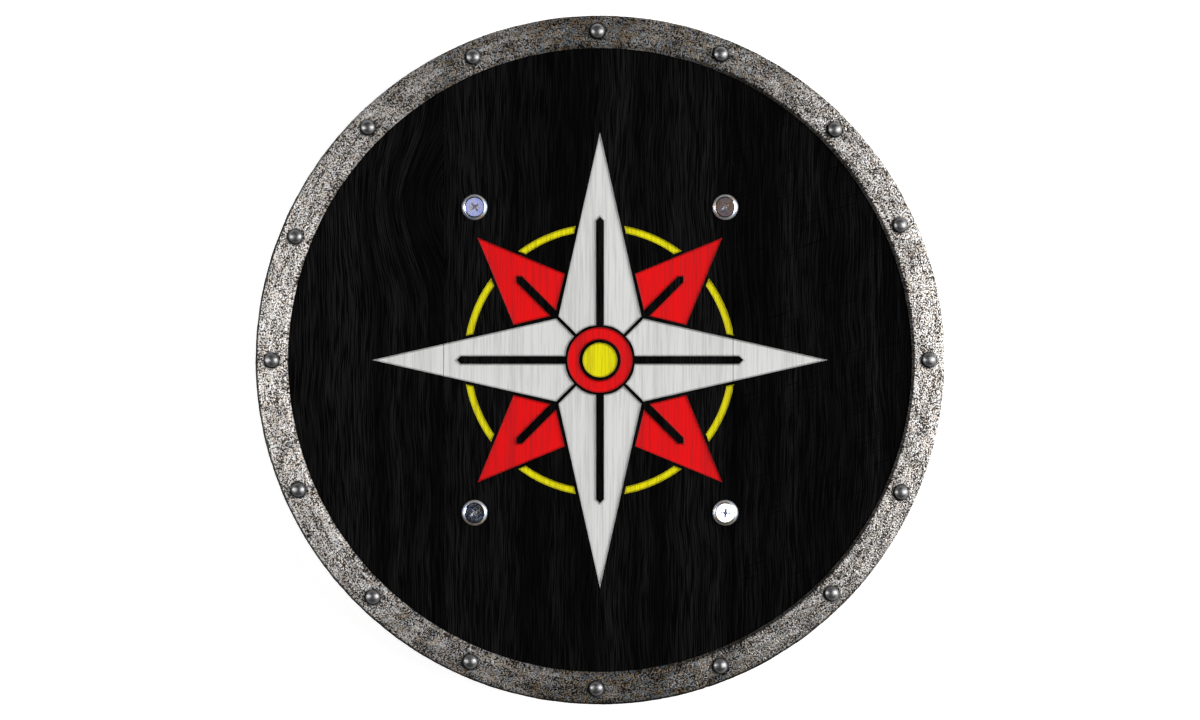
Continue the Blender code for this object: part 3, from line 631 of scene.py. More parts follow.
def waxed_thread(name):
    """Linen thread, twisted and waxed: pale straw, with the twist as slanting lines."""
    made, tree, shader, coords = new_material(name)
    # Strands 0.9 mm apart, drawn twice life size so that they show
    twist = {"Vector": coords, "Scale": 420.0, "Distortion": 0.5}
    twist = add(tree, "ShaderNodeTexWave", twist, "Fac", wave_type="BANDS", bands_direction="DIAGONAL")
    colour = {0: twist, 6: linear("#8f7a55"), 7: linear("#cdb98c")}
    connect(tree, shader, {
        "Base Color": add(tree, "ShaderNodeMix", colour, 2, data_type="RGBA"),
        "Normal": add(tree, "ShaderNodeBump", {"Strength": 0.4, "Distance": 0.0002, "Height": twist}),
        "Roughness": 0.7,
    })
    return made


def pale_card(name):
    """Matt white card under the shield, with no pattern but a faint tooth. It is lit a little from below, as
    a light table is, so that the shadows on it stay faint. Seen from below it is clear, to show the shield's
    back."""
    made, tree, shader, coords = new_material(name)
    # Tooth 3 mm across, many times life size so that it shows at all
    tooth = mottle(tree, coords, (300, 300, 300))
    colour = {0: tooth, 6: linear("#f4f4f4"), 7: linear("#fafafa")}
    connect(tree, shader, {
        "Base Color": add(tree, "ShaderNodeMix", colour, 2, data_type="RGBA"),
        "Roughness": 0.9,
        "Specular IOR Level": 0.1,
        "Emission Color": linear("#ffffff"),
        "Emission Strength": 0.6,
    })
    behind = add(tree, "ShaderNodeNewGeometry", output="Backfacing")
    clear = add(tree, "ShaderNodeBsdfTransparent")
    seen = add(tree, "ShaderNodeMixShader", {0: behind, 1: shader.outputs[0], 2: clear})
    connect(tree, tree.nodes["Material Output"], {"Surface": seen})
    return made


# Compass rose outlines, as (x, y) points, counter-clockwise

def on_circle(radius, degrees):
    return (radius * math.cos(math.radians(degrees)), radius * math.sin(math.radians(degrees)))


def arc(radius, start_deg, end_deg):
    """Points of a circle about the centre, both ends included."""
    steps = max(1, round(abs(end_deg - start_deg) / ROSE_ARC_STEP_DEG))
    return [on_circle(radius, start_deg + (end_deg - start_deg) * i / steps) for i in range(steps + 1)]


def curved_edge(radius, start_deg, end_deg):
    """The same arc without the points so close to its ends that drawing the outline in would make them
    cross."""
    points = arc(radius, start_deg, end_deg)
    ends = Vector(points[0]), Vector(points[-1])
    clear = [p for p in points[1:-1] if min((Vector(p) - end).length for end in ends) > ROSE_CORNER_CLEAR]
    return [points[0], *clear, points[-1]]


def turned_points(points, degrees):
    c, s = math.cos(math.radians(degrees)), math.sin(math.radians(degrees))
    return [(x * c - y * s, x * s + y * c) for x, y in points]


def drawn_in(outline, distance):
    """An outline with every edge moved inwards and the corners kept sharp."""
    made = []
    for i, here in enumerate(outline):
        before, after = Vector(outline[i - 1]), Vector(outline[(i + 1) % len(outline)])
        here = Vector(here)
        first, second = (here - before).normalized(), (after - here).normalized()
        inwards = Vector((-first.y - second.y, first.x + second.x)).normalized()
        made.append(tuple(here + inwards * (distance / inwards.dot(Vector((-first.y, first.x))))))
    return made


def between(a, b, share):
    return tuple(Vector(a).lerp(Vector(b), share))


def long_point():
    """The point along +X, with a slot up its middle from the eye."""
    half_slot = ROSE_SLOT_WIDTH / 2
    slot_mouth = math.degrees(math.asin(half_slot / ROSE_EYE_RADIUS))
    slot = [(ROSE_LONG_SLOT_END - half_slot, half_slot), (ROSE_LONG_SLOT_END, 0)]
    slot += [(ROSE_LONG_SLOT_END - half_slot, -half_slot)]
    eye_upper = curved_edge(ROSE_EYE_RADIUS, 45, slot_mouth)
    eye_lower = curved_edge(ROSE_EYE_RADIUS, -slot_mouth, -45)
    neck_upper, neck_lower = on_circle(ROSE_NECK_RADIUS, 45), on_circle(ROSE_NECK_RADIUS, -45)
    return [(ROSE_LONG_TIP, 0), neck_upper, *eye_upper, *slot, *eye_lower, neck_lower]


def short_point():
    """The point on the diagonal, between two long ones, with a slot from its root."""
    root = on_circle(ROSE_NECK_RADIUS, 45)
    right = between(root, (ROSE_LONG_TIP, 0), ROSE_SHORT_SHARE)
    left = between(root, (0, ROSE_LONG_TIP), ROSE_SHORT_SHARE)
    half_slot = ROSE_SLOT_WIDTH / 2
    mouth = ROSE_NECK_RADIUS + half_slot
    slot = [(mouth, -half_slot), (ROSE_SHORT_SLOT_END - half_slot, -half_slot), (ROSE_SHORT_SLOT_END, 0)]
    slot += [(ROSE_SHORT_SLOT_END - half_slot, half_slot), (mouth, half_slot)]
    return [on_circle(ROSE_SHORT_TIP, 45), left, *reversed(turned_points(slot, 45)), right]


def edge_angle(radius, start, end):
    """The angle at which the straight edge from start to end crosses a circle about the centre."""
    a, b = Vector(start), Vector(end) - Vector(start)
    p, q, r = b.dot(b), a.dot(b), a.dot(a) - radius * radius
    x, y = between(start, end, (-q + math.sqrt(q * q - p * r)) / p)
    return math.degrees(math.atan2(y, x))


def circle_part():
    """The stretch of the rose's circle from a long point to the next short one."""
    root, tip = on_circle(ROSE_NECK_RADIUS, 45), (ROSE_LONG_TIP, 0)
    right, short_tip = between(root, tip, ROSE_SHORT_SHARE), on_circle(ROSE_SHORT_TIP, 45)
    outer = curved_edge(
        ROSE_CIRCLE_OUTER,
        edge_angle(ROSE_CIRCLE_OUTER, root, tip),
        edge_angle(ROSE_CIRCLE_OUTER, right, short_tip),
    )
    inner = curved_edge(
        ROSE_CIRCLE_INNER,
        edge_angle(ROSE_CIRCLE_INNER, right, short_tip),
        edge_angle(ROSE_CIRCLE_INNER, root, tip),
    )
    return [*outer, *inner]


def mirrored_on_diagonal(outline):
    return [(y, x) for x, y in reversed(outline)]


def rose_pockets(shapes):
    """Each shape in all four quarters, drawn in so that a black line stays between neighbours."""
    return [turned_points(drawn_in(shape, ROSE_LINE / 2), 90 * q) for shape in shapes for q in range(4)]


# Planks

# The router's cut, from above the face to its floor, as (inset from the outline, depth). The lip is rubbed
# round, the wall leans a little, and paint fills the corner.
ROUTER_CUT = (
    (-0.00030, -0.00200),
    (-0.00030, 0.00000),
    (-0.00008, 0.00012),
    (0.00005, 0.00040),
    (0.00025, 0.00085),
    (0.00060, 0.00112),
    (0.00105, ROSE_DEPTH),
)


def pocket_cutter(name, outlines, finish, ring=None):
    """A solid of the shape that the router takes away, its sides stepping in to the floor."""
    work = bmesh.new()
    for outline in outlines:
        rings = []
        for inset, depth in ROUTER_CUT:
            points = drawn_in(outline, inset)
            rings.append([work.verts.new((x, y, BOARD_FRONT_Z - depth)) for x, y in points])
        capped_walls(work, rings)
    if ring:
        cut_ring(work, *ring)
    bmesh.ops.recalc_face_normals(work, faces=work.faces)
    mesh = drawn_mesh(name, work)
    mesh.materials.append(finish)
    return loose(name, mesh)


def cut_ring(work, outer_radius, inner_radius):
    """The hub's ring, cut round a black island."""
    profile = [(outer_radius - inset, depth) for inset, depth in ROUTER_CUT]
    profile += [(inner_radius + inset, depth) for inset, depth in reversed(ROUTER_CUT)]
    turn = [math.tau * i / HUB_SIDES for i in range(HUB_SIDES)]
    rings = []
    for r, depth in profile:
        z = BOARD_FRONT_Z - depth
        rings.append([work.verts.new((r * math.cos(a), r * math.sin(a), z)) for a in turn])
    walls_between(work, [*rings, rings[0]])


def clipped(outline, edge_x, keep_right):
    """The part of a convex outline to one side of an upright line."""
    made = []
    for i, here in enumerate(outline):
        after = outline[(i + 1) % len(outline)]
        inside = (here[0] >= edge_x) == keep_right
        inside_after = (after[0] >= edge_x) == keep_right
        if inside:
            made.append(here)
        if inside != inside_after:
            share = (edge_x - here[0]) / (after[0] - here[0])
            made.append((edge_x, here[1] + (after[1] - here[1]) * share))
    return made


def hole_cutter():
    """Round holes for the rivets and the bolts, as one cutter three boards thick."""
    work = bmesh.new()
    thick = BOARD_FRONT_Z - BOARD_BACK_Z
    places = [(x, y, RIVET_SHANK_RADIUS + FIT_GAP) for x, y in middles(RIVET_NODES)]
    places += [(x, y, BOLT_SHANK_RADIUS + FIT_GAP) for x, y in middles(BOLT_NODES)]
    for x, y, radius in places:
        bmesh.ops.create_cone(
            work,
            cap_ends=True,
            segments=HOLE_SIDES,
            radius1=radius,
            radius2=radius,
            depth=3 * thick,
            matrix=Matrix.Translation((x, y, BOARD_BACK_Z + thick / 2)),
        )
    return loose("holes", drawn_mesh("holes", work))


def runs_up_seam(edge, seam_x):
    """Whether an edge of a plank runs along its seam, on the front or the back."""
    a, b = (vertex.co for vertex in edge.verts)
    on_seam = abs(a.x - seam_x) < SAME_PLACE and abs(b.x - seam_x) < SAME_PLACE
    return on_seam and abs(a.z - b.z) < SAME_PLACE


def make_plank(name, low_x, high_x, wood, cutters):
    """A plank with its long edges eased, cut to the round, drilled and routed."""
    outline = [on_circle(BOARD_RADIUS, 360 / BOARD_SIDES * i) for i in range(BOARD_SIDES)]
    if low_x is not None:
        outline = clipped(outline, low_x, True)
    if high_x is not None:
        outline = clipped(outline, high_x, False)
    work = bmesh.new()
    lower = work.faces.new([work.verts.new((x, y, BOARD_BACK_Z)) for x, y in outline])
    grown = bmesh.ops.extrude_face_region(work, geom=[lower])
    upper = [v for v in grown["geom"] if isinstance(v, bmesh.types.BMVert)]
    bmesh.ops.translate(work, verts=upper, vec=(0, 0, BOARD_FRONT_Z - BOARD_BACK_Z))
    bmesh.ops.recalc_face_normals(work, faces=work.faces)
    seams = [x for x in (low_x, high_x) if x is not None]
    eased = [e for e in work.edges if any(runs_up_seam(e, x) for x in seams)]
    bmesh.ops.bevel(work, geom=eased, offset=SEAM_EDGE_EASE, segments=3, profile=0.5, affect="EDGES")
    mesh = drawn_mesh(name, work)
    mesh.materials.append(wood)
    blank = loose(name + "_blank", mesh)
    for cutter in cutters:
        cut = blank.modifiers.new("cut " + cutter.name, "BOOLEAN")
        cut.operation = "DIFFERENCE"
        cut.object = cutter
        # The walls and the floor of a cut take the cutter's paint
        cut.material_mode = "TRANSFER"
    place(name + "_board", evaluated_mesh(blank, name + "_board"), [name])


def make_planks():
    """The three planks, with the rose cut across them and painted."""
    white = painted_wood("white_enamel_on_wood", "#e2e2e1", "#cdcdcb", 2.0)
    red = painted_wood("red_enamel_on_wood", "#f00408", "#c80f16", 5.0)
    yellow = painted_wood("yellow_enamel_on_wood", "#f0e902", "#cfc00a", 8.0)
    stretch = circle_part()
    disc = arc(ROSE_HUB_DISC_RADIUS, 0, 360)[:-1]
    hub_ring = (ROSE_HUB_RING_OUTER, ROSE_HUB_RING_INNER)
    yellow_shapes = rose_pockets([stretch, mirrored_on_diagonal(stretch)]) + [disc]
    cutters = (
        pocket_cutter("white_pockets", rose_pockets([long_point()]), white),
        pocket_cutter("red_pockets", rose_pockets([short_point()]), red, hub_ring),
        pocket_cutter("yellow_pockets", yellow_shapes, yellow),
        hole_cutter(),
    )
    left = stained_wood("black_stained_wood_left", "#1e1e1e", 1.0, knot=True)
    middle = stained_wood("black_stained_wood_middle", "#1e1e1e", 4.0)
    right = stained_wood("black_stained_wood_right", "#1c1c1c", 7.0, checks=0.8, scuffs=0.6)
    gap = FIT_GAP / 2
    make_plank("plank_left", None, SEAM_LEFT_X - gap, left, cutters)
    make_plank("plank_middle", SEAM_LEFT_X + gap, SEAM_RIGHT_X - gap, middle, cutters)
    make_plank("plank_right", SEAM_RIGHT_X + gap, None, right, cutters)
    for cutter in cutters:
        bpy.data.objects.remove(cutter, do_unlink=True)


# Rim

def rim_profile():
    """The channel's section as (radius, height): a bevelled lip, a crowned face and rounded outer corners."""
    inner, outer, edge = SHIELD_RADIUS - RIM_FACE_WIDTH, SHIELD_RADIUS, RIM_EDGE_ROUND
    channel = outer - RIM_THICKNESS
    inside_front, inside_back = RIM_FRONT_Z - RIM_THICKNESS, RIM_BACK_Z + RIM_THICKNESS
    lip_end = inner + RIM_LIP_BEVEL_WIDTH
    points = [(inner, inside_front), (inner, inside_front + RIM_LIP_FOOT)]
    lip_steps = 6
    for i in range(lip_steps):
        share = i / lip_steps
        points.append((inner + RIM_LIP_BEVEL_WIDTH * share, RIM_FRONT_Z - RIM_LIP_BEVEL_DROP * (1 - share)))
    middle, half = (inner + outer) / 2, (outer - inner) / 2
    face_steps = 28
    for i in range(face_steps):
        radius = lip_end + (outer - edge - lip_end) * i / face_steps
        points.append((radius, RIM_FRONT_Z + RIM_CROWN * (1 - ((radius - middle) / half) ** 2)))
    turn = [math.pi / 2 * i / 3 for i in range(4)]
    points += [(outer - edge * (1 - math.sin(a)), RIM_FRONT_Z - edge * (1 - math.cos(a))) for a in turn]
    wall_top, wall_low, wall_steps = RIM_FRONT_Z - edge, RIM_BACK_Z + edge, 10
    points += [(outer, wall_top + (wall_low - wall_top) * i / wall_steps) for i in range(1, wall_steps)]
    points += [(outer - edge * (1 - math.cos(a)), RIM_BACK_Z + edge * (1 - math.sin(a))) for a in turn]
    back_steps = 8
    back_width = outer - inner - edge
    points += [(outer - edge - back_width * i / back_steps, RIM_BACK_Z) for i in range(1, back_steps)]
    points += [(inner, RIM_BACK_Z + RIM_BACK_EASE), (inner, inside_back)]
    points += [(channel, inside_back), (channel, inside_front)]
    return points


def iron_relief_tree():
    """Geometry nodes that beat and pit a strip: dents, coarse grains and rust pits, all of them inwards. How
    far each point lies from a rivet is kept for the finish."""
    inputs = {"Dent Depth": "Float", "Grain Depth": "Float", "Pit Depth": "Float"}
    inputs |= {"Rivets": "Object", "Iron": "Material"}
    tree, given = new_shape_tree("beaten_iron_relief", inputs)
    where = add(tree, "GeometryNodeInputPosition")
    # Dents 11 mm across and grains of 2 mm
    dents = add(tree, "ShaderNodeTexNoise", {"Vector": where, "Scale": 90.0, "Detail": 1.0})
    dents = add(tree, "ShaderNodeMapRange", {0: dents, 1: 0.3, 2: 0.7})
    dents = add(tree, "ShaderNodeMath", {0: dents, 1: given["Dent Depth"]}, operation="MULTIPLY")
    grains = add(tree, "ShaderNodeTexNoise", {"Vector": where, "Scale": 520.0, "Detail": 1.0})
    grains = add(tree, "ShaderNodeMapRange", {0: grains, 1: 0.3, 2: 0.7})
    grains = add(tree, "ShaderNodeMath", {0: grains, 1: given["Grain Depth"]}, operation="MULTIPLY")
    # Pits up to 3 mm across and 8 mm apart, only in patches 22 mm across
    spots = {"Vector": where, "Scale": 130.0, "Randomness": 1.0}
    spots = add(tree, "ShaderNodeTexVoronoi", spots, "Distance", feature="F1")
    spots = add(tree, "ShaderNodeMapRange", {0: spots, 1: 0.06, 2: 0.22, 3: 1.0, 4: 0.0})
    rusted = add(tree, "ShaderNodeTexNoise", {"Vector": where, "Scale": 45.0, "Detail": 2.0})
    rusted = add(tree, "ShaderNodeMapRange", {0: rusted, 1: 0.50, 2: 0.58})
    pits = add(tree, "ShaderNodeMath", {0: spots, 1: rusted}, operation="MULTIPLY")
    pits = add(tree, "ShaderNodeMath", {0: pits, 1: given["Pit Depth"]}, operation="MULTIPLY")
    depth = add(tree, "ShaderNodeMath", {0: dents, 1: grains}, operation="ADD")
    depth = add(tree, "ShaderNodeMath", {0: depth, 1: pits}, operation="ADD")
    inwards = add(tree, "ShaderNodeMath", {0: depth, 1: -1.0}, operation="MULTIPLY")
    shift = {0: add(tree, "GeometryNodeInputNormal"), "Scale": inwards}
    shift = add(tree, "ShaderNodeVectorMath", shift, operation="SCALE")
    moved = add(tree, "GeometryNodeSetPosition", {"Geometry": given["Geometry"], "Offset": shift})
    rivets = add(tree, "GeometryNodeObjectInfo", {"Object": given["Rivets"]}, "Geometry")
    apart = add(tree, "GeometryNodeProximity", {0: rivets}, "Distance", target_element="POINTS")
    marked = {"Geometry": moved, "Name": "from_rivet", "Value": apart}
    marked = add(tree, "GeometryNodeStoreNamedAttribute", marked, data_type="FLOAT", domain="POINT")
    return finish_shape_tree(tree, marked, given["Iron"])


def make_rim():
    """The iron channel round the board, beaten and pitted."""
    ring = turned_mesh("rim_ring", rim_profile(), RIM_SIDES, closed=True)
    rivets = spots_at("rivet_places", middles(RIVET_NODES), RIM_CROWN_Z)
    values = {"Dent Depth": DENT_DEPTH, "Grain Depth": GRAIN_DEPTH, "Pit Depth": PIT_DEPTH}
    values |= {"Rivets": rivets, "Iron": weathered_iron("wire_brushed_hot_rolled_iron")}
    mesh = evaluated_mesh(with_nodes(loose("rim_strip", ring), iron_relief_tree(), values), "rim_band")
    bpy.data.objects.remove(rivets, do_unlink=True)
    mesh.shade_smooth()
    place("rim_band", mesh, ["rim"])


# Rivets, bolts, washers and nuts

def fastener_tree(name):
    """Geometry nodes that set one shape on every point of a mesh, each turned and tipped by chance."""
    inputs = {"Shape": "Object", "Tip": "Float", "Seed": "Int", "Finish": "Material"}
    tree, given = new_shape_tree(name, inputs)
    shape = add(tree, "GeometryNodeObjectInfo", {"Object": given["Shape"]}, "Geometry")
    other_way = add(tree, "ShaderNodeMath", {0: given["Tip"], 1: -1.0}, operation="MULTIPLY")
    least = add(tree, "ShaderNodeCombineXYZ", {"X": other_way, "Y": other_way, "Z": 0.0})
    most = add(tree, "ShaderNodeCombineXYZ", {"X": given["Tip"], "Y": given["Tip"], "Z": math.tau})
    turn = {0: least, 1: most, "Seed": given["Seed"]}
    turn = add(tree, "FunctionNodeRandomValue", turn, data_type="FLOAT_VECTOR")
    set_out = {"Points": given["Geometry"], "Instance": shape, "Rotation": turn}
    set_out = add(tree, "GeometryNodeInstanceOnPoints", set_out)
    return finish_shape_tree(tree, set_out, given["Finish"])


def make_fasteners(name, shape_mesh, points, height, tree, finish, nodes, seed, tip_deg=0.0):
    """One shape at every point, as one piece."""
    shape = loose(name + "_shape", shape_mesh)
    spots = spots_at(name + "_spots", points, height)
    values = {"Shape": shape, "Tip": math.radians(tip_deg), "Seed": seed, "Finish": finish}
    mesh = evaluated_mesh(with_nodes(spots, tree, values), name)
    bpy.data.objects.remove(shape, do_unlink=True)
    place(name, mesh, nodes)


def quarter(radius, height, steps):
    """A dome's side as (distance from the axis, height), from its top to its edge."""
    turn = [math.pi / 2 * i / steps for i in range(steps + 1)]
    return [(radius * math.sin(a), height * math.cos(a)) for a in turn]


def make_rivets(tree):
    """Round-headed rivets through rim and board, set over at the back."""
    rivet_low, rivet_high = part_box(RIVET_NODES[0])
    head_z = RIM_CROWN_Z + FIT_GAP
    dome_height = rivet_high.z - head_z - RIVET_HEAD_EDGE
    tail_z = RIM_BACK_Z - FIT_GAP
    grip = tail_z - head_z
    profile = [(r, h + RIVET_HEAD_EDGE) for r, h in quarter(RIVET_HEAD_RADIUS, dome_height, 12)]
    # The foot of the head tucks in and reaches down into the gap over the rim
    profile += [(RIVET_HEAD_RADIUS - 0.0001, 0.0), (RIVET_HEAD_RADIUS - 0.0006, -RIVET_FOOT_DROP)]
    profile += [(RIVET_SHANK_RADIUS, -RIVET_FOOT_DROP), (RIVET_SHANK_RADIUS, grip)]
    tail = quarter(RIVET_TAIL_RADIUS, tail_z - rivet_low.z, 6)
    profile += [(r, grip - h) for r, h in reversed(tail)]
    mesh = turned_mesh("rivet", profile, RIVET_SIDES)
    steel = dark_rivet_steel("oiled_rivet_steel")
    spots = middles(RIVET_NODES)
    make_fasteners("rim_rivets", mesh, spots, head_z, tree, steel, RIVET_NODES, 3, tip_deg=1.5)


# A bolt's head from its middle out, as (radius, fall below the top): a flat face, a shoulder that falls 15
# degrees, and a broad turned edge that falls 40
BOLT_FACE = (
    (0.0, 0.0),
    (0.0035, 0.0),
    (0.0059, 0.0),
    (0.0060, 0.00002),
    (0.0064, 0.00011),
    (0.00695, 0.00026),
    (0.0070, 0.00028),
    (0.00705, 0.00032),
    (0.0075, 0.00068),
    (0.0080, 0.00112),
    (0.0082, 0.00140),
    (BOLT_HEAD_RADIUS, 0.0018),
)

# The cross recess from above the face to its floor, as (share of its width, fall below the top)
RECESS_STEPS = ((1.12, -0.0006), (1.0, 0.0001), (0.80, 0.0010), (0.45, 0.0016))


def make_bolts(tree, zinc):
    """Bolts with flat round heads, each with a cross recess."""
    bolt_low, bolt_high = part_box(BOLT_NODES[0])
    under_z = BOARD_FRONT_Z + FIT_GAP
    height = bolt_high.z - under_z
    tip = bolt_low.z - under_z
    profile = [(r, height - fall) for r, fall in BOLT_FACE]
    profile += [(BOLT_HEAD_RADIUS, BOLT_HEAD_EASE), (BOLT_HEAD_RADIUS - BOLT_HEAD_EASE, 0.0)]
    profile += [(BOLT_SHANK_RADIUS, 0.0), (BOLT_SHANK_RADIUS, tip + BOLT_TIP_CHAMFER)]
    profile += [(BOLT_SHANK_RADIUS - BOLT_TIP_CHAMFER, tip), (0.0, tip)]
    head = loose("bolt_blank", turned_mesh("bolt", profile, BOLT_SIDES))
    recess = loose("recess", cross_recess_mesh(height))
    cut = head.modifiers.new("recess", "BOOLEAN")
    cut.operation = "DIFFERENCE"
    cut.object = recess
    mesh = evaluated_mesh(head, "bolt")
    bpy.data.objects.remove(recess, do_unlink=True)
    mesh.shade_smooth()
    mesh.set_sharp_from_angle(angle=math.radians(30))
    # The flat of the head stays flat, so that it mirrors like a plate
    for face in mesh.polygons:
        face.use_smooth = face.normal.z < 0.9999
    spots = middles(BOLT_NODES)
    make_fasteners("strap_bolts", mesh, spots, under_z, tree, zinc, BOLT_NODES, 11)


def cross_recess_mesh(height):
    """A cross whose four wings taper down to a point, to be taken out of a bolt's head."""
    arm, half, corner = RECESS_ARM, RECESS_ARM_HALF_WIDTH, RECESS_CORNER
    outline = []
    for q in range(4):
        outline += turned_points([(arm, -half), (arm, half), (corner, corner)], 90 * q)
    work = bmesh.new()
    rings = []
    for share, fall in RECESS_STEPS:
        rings.append([work.verts.new((x * share, y * share, height - fall)) for x, y in outline])
    capped_walls(work, rings)
    bmesh.ops.recalc_face_normals(work, faces=work.faces)
    return drawn_mesh("cross_recess", work)


def make_washers(tree, zinc):
    """Plain washers under the straps' ends."""
    low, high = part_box(WASHER_NODES[0])
    thick = high.z - low.z
    outer, hole, ease = WASHER_RADIUS, WASHER_HOLE_RADIUS, WASHER_EASE
    profile = [(hole, thick - ease), (hole + ease, thick), (outer - WASHER_ROUND, thick)]
    profile += [(outer - 0.0001, thick - 0.0002), (outer, thick - WASHER_ROUND)]
    profile += [(outer, ease), (outer - ease, 0.0), (hole + ease, 0.0), (hole, ease)]
    mesh = turned_mesh("washer", profile, NUT_SIDES, closed=True)
    spots = middles(BOLT_NODES)
    make_fasteners("strap_washers", mesh, spots, low.z, tree, zinc, WASHER_NODES, 5)


def make_nuts(tree, zinc):
    """Cap nuts: a hexagon with its corners turned off, and a smooth dome below."""
    low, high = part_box(NUT_NODES[0])
    top = high.z - low.z
    base = top - NUT_HEXAGON_HEIGHT
    corner = NUT_HALF_WIDTH / math.cos(math.pi / 6)
    work = bmesh.new()
    bmesh.ops.create_cone(
        work,
        cap_ends=True,
        segments=6,
        radius1=corner,
        radius2=corner,
        depth=NUT_HEXAGON_HEIGHT,
        matrix=Matrix.Translation((0, 0, top - NUT_HEXAGON_HEIGHT / 2)),
    )
    nut = loose("nut_blank", drawn_mesh("hexagon", work))
    face, widest, fall = NUT_FACE_RADIUS, NUT_CORNER_RADIUS, NUT_CORNER_DROP
    turning = [(0.0, top + OVERSHOOT), (face, top + OVERSHOOT), (face, top), (widest, top - fall)]
    turning += [(widest, base + fall), (face, base), (0.0, base - OVERSHOOT)]
    dome = [(0.0, base + OVERSHOOT), (NUT_DOME_RADIUS, base + OVERSHOOT)]
    dome += [(r, base - h) for h, r in quarter(base, NUT_DOME_RADIUS, 10)]
    bore = [(0.0, top + OVERSHOOT), (NUT_BORE_RADIUS, top + OVERSHOOT)]
    bore += [(NUT_BORE_RADIUS, top - NUT_BORE_DEPTH), (0.0, top - NUT_BORE_DEPTH)]
    others = []
    for name, profile, sides, how in (
        ("round_off", turning, NUT_SIDES, "INTERSECT"),
        ("cap", dome, NUT_SIDES, "UNION"),
        ("bore", bore, BORE_SIDES, "DIFFERENCE"),
    ):
        step = nut.modifiers.new(name, "BOOLEAN")
        step.operation = how
        step.object = loose(name, turned_mesh(name, profile, sides))
        others.append(step.object)
    mesh = evaluated_mesh(nut, "cap_nut")
    for other in others:
        bpy.data.objects.remove(other, do_unlink=True)
    mesh.shade_smooth()
    mesh.set_sharp_from_angle(angle=math.radians(25))
    spots = middles(BOLT_NODES)
    make_fasteners("strap_nuts", mesh, spots, low.z, tree, zinc, NUT_NODES, 21)


# Straps

def strap_line():
    """The strap's middle line as (y, z) points from one end to the other: flat under the board, down in a
    smooth fall, flat on the ground, and up again."""
    seat_z = BOARD_BACK_Z - FIT_GAP - STRAP_THICKNESS / 2
    ground_z = STRAP_THICKNESS / 2
    end_y = BOLT_Y + STRAP_END_MARGIN
    leave_y = BOLT_Y - STRAP_SEAT_LENGTH
    low_y = leave_y - STRAP_FALL_RUN
    seat_steps, fall_steps, flat_steps = 14, 26, 24
    half = [(end_y + (leave_y - end_y) * i / seat_steps, seat_z) for i in range(seat_steps)]
    for i in range(fall_steps):
        share = i / fall_steps
        z = ground_z + (seat_z - ground_z) * (1 + math.cos(math.pi * share)) / 2
        half.append((leave_y - STRAP_FALL_RUN * share, z))
    half += [(low_y - low_y * i / flat_steps, ground_z) for i in range(flat_steps)]
    return with_round_ends(half + [(0.0, ground_z)] + [(-y, z) for y, z in reversed(half)])


def with_round_ends(line):
    """The line with its points closer together in the round corners of both ends."""
    end_y, seat_z = line[0]
    corner_y = end_y - STRAP_CORNER_RADIUS
    close = [end_y - STRAP_CORNER_RADIUS * (1 - math.cos(math.pi / 2 * i / 8)) for i in range(9)]
    inner = [p for p in line if abs(p[0]) < corner_y - 0.0001]
    return [(y, seat_z) for y in close] + inner + [(-y, seat_z) for y in reversed(close)]


def along_line(line):
    """Each point's unit direction along the line."""
    made = []
    for i in range(len(line)):
        before, after = Vector(line[max(i - 1, 0)]), Vector(line[min(i + 1, len(line) - 1)])
        made.append((after - before).normalized())
    return made


def strap_half_width(y, half_width):
    """Half the strap's width at a place on it, less where the end's corners are round."""
    into_corner = abs(y) - (BOLT_Y + STRAP_END_MARGIN - STRAP_CORNER_RADIUS)
    if into_corner <= 0:
        return half_width
    return half_width - STRAP_CORNER_RADIUS + math.sqrt(max(STRAP_CORNER_RADIUS**2 - into_corner**2, 0.0))


def strap_section(reach):
    """The strap's section as (sideways, share of half the thickness), with burnished edges and two grooves on
    either face."""
    groove_at = max(reach - STITCH_INSET, 0.0)
    groove_floor = 1.0 - GROOVE_DEPTH / (STRAP_THICKNESS / 2)
    left = [(-reach, 0.35), (-reach + STRAP_EDGE_ROUND * 0.3, 0.75), (-reach + STRAP_EDGE_ROUND, 1.0)]
    left += [(-groove_at - GROOVE_HALF_WIDTH, 1.0), (-groove_at, groove_floor)]
    left += [(-groove_at + GROOVE_HALF_WIDTH, 1.0)]
    face = left + [(0.0, 1.0)] + [(-x, share) for x, share in reversed(left)]
    return face + [(-x, -share) for x, share in face]


def make_strap(name, centre_x, width, leather, thread, stitches):
    """A strip of leather with burnished, rounded edges and a groove for the stitches."""
    line = strap_line()
    directions = along_line(line)
    work = bmesh.new()
    rings = []
    for (y, z), along in zip(line, directions):
        across = Vector((-along.y, along.x)) * STRAP_THICKNESS / 2
        reach = max(strap_half_width(y, width / 2), STRAP_EDGE_ROUND + 0.0001)
        ring = []
        for x, share in strap_section(reach):
            # The ground holds the leather up
            height = max(z + across.y * share, 0.0)
            ring.append(work.verts.new((centre_x + x, y + across.x * share, height)))
        rings.append(ring)
    capped_walls(work, rings)
    bmesh.ops.recalc_face_normals(work, faces=work.faces)
    mesh = drawn_mesh(name + "_leather", work)
    mesh.shade_smooth()
    mesh.set_sharp_from_angle(angle=math.radians(60))
    place(name + "_leather", mesh, [name], [leather])
    make_stitches(name, centre_x, width, line, directions, thread, stitches)


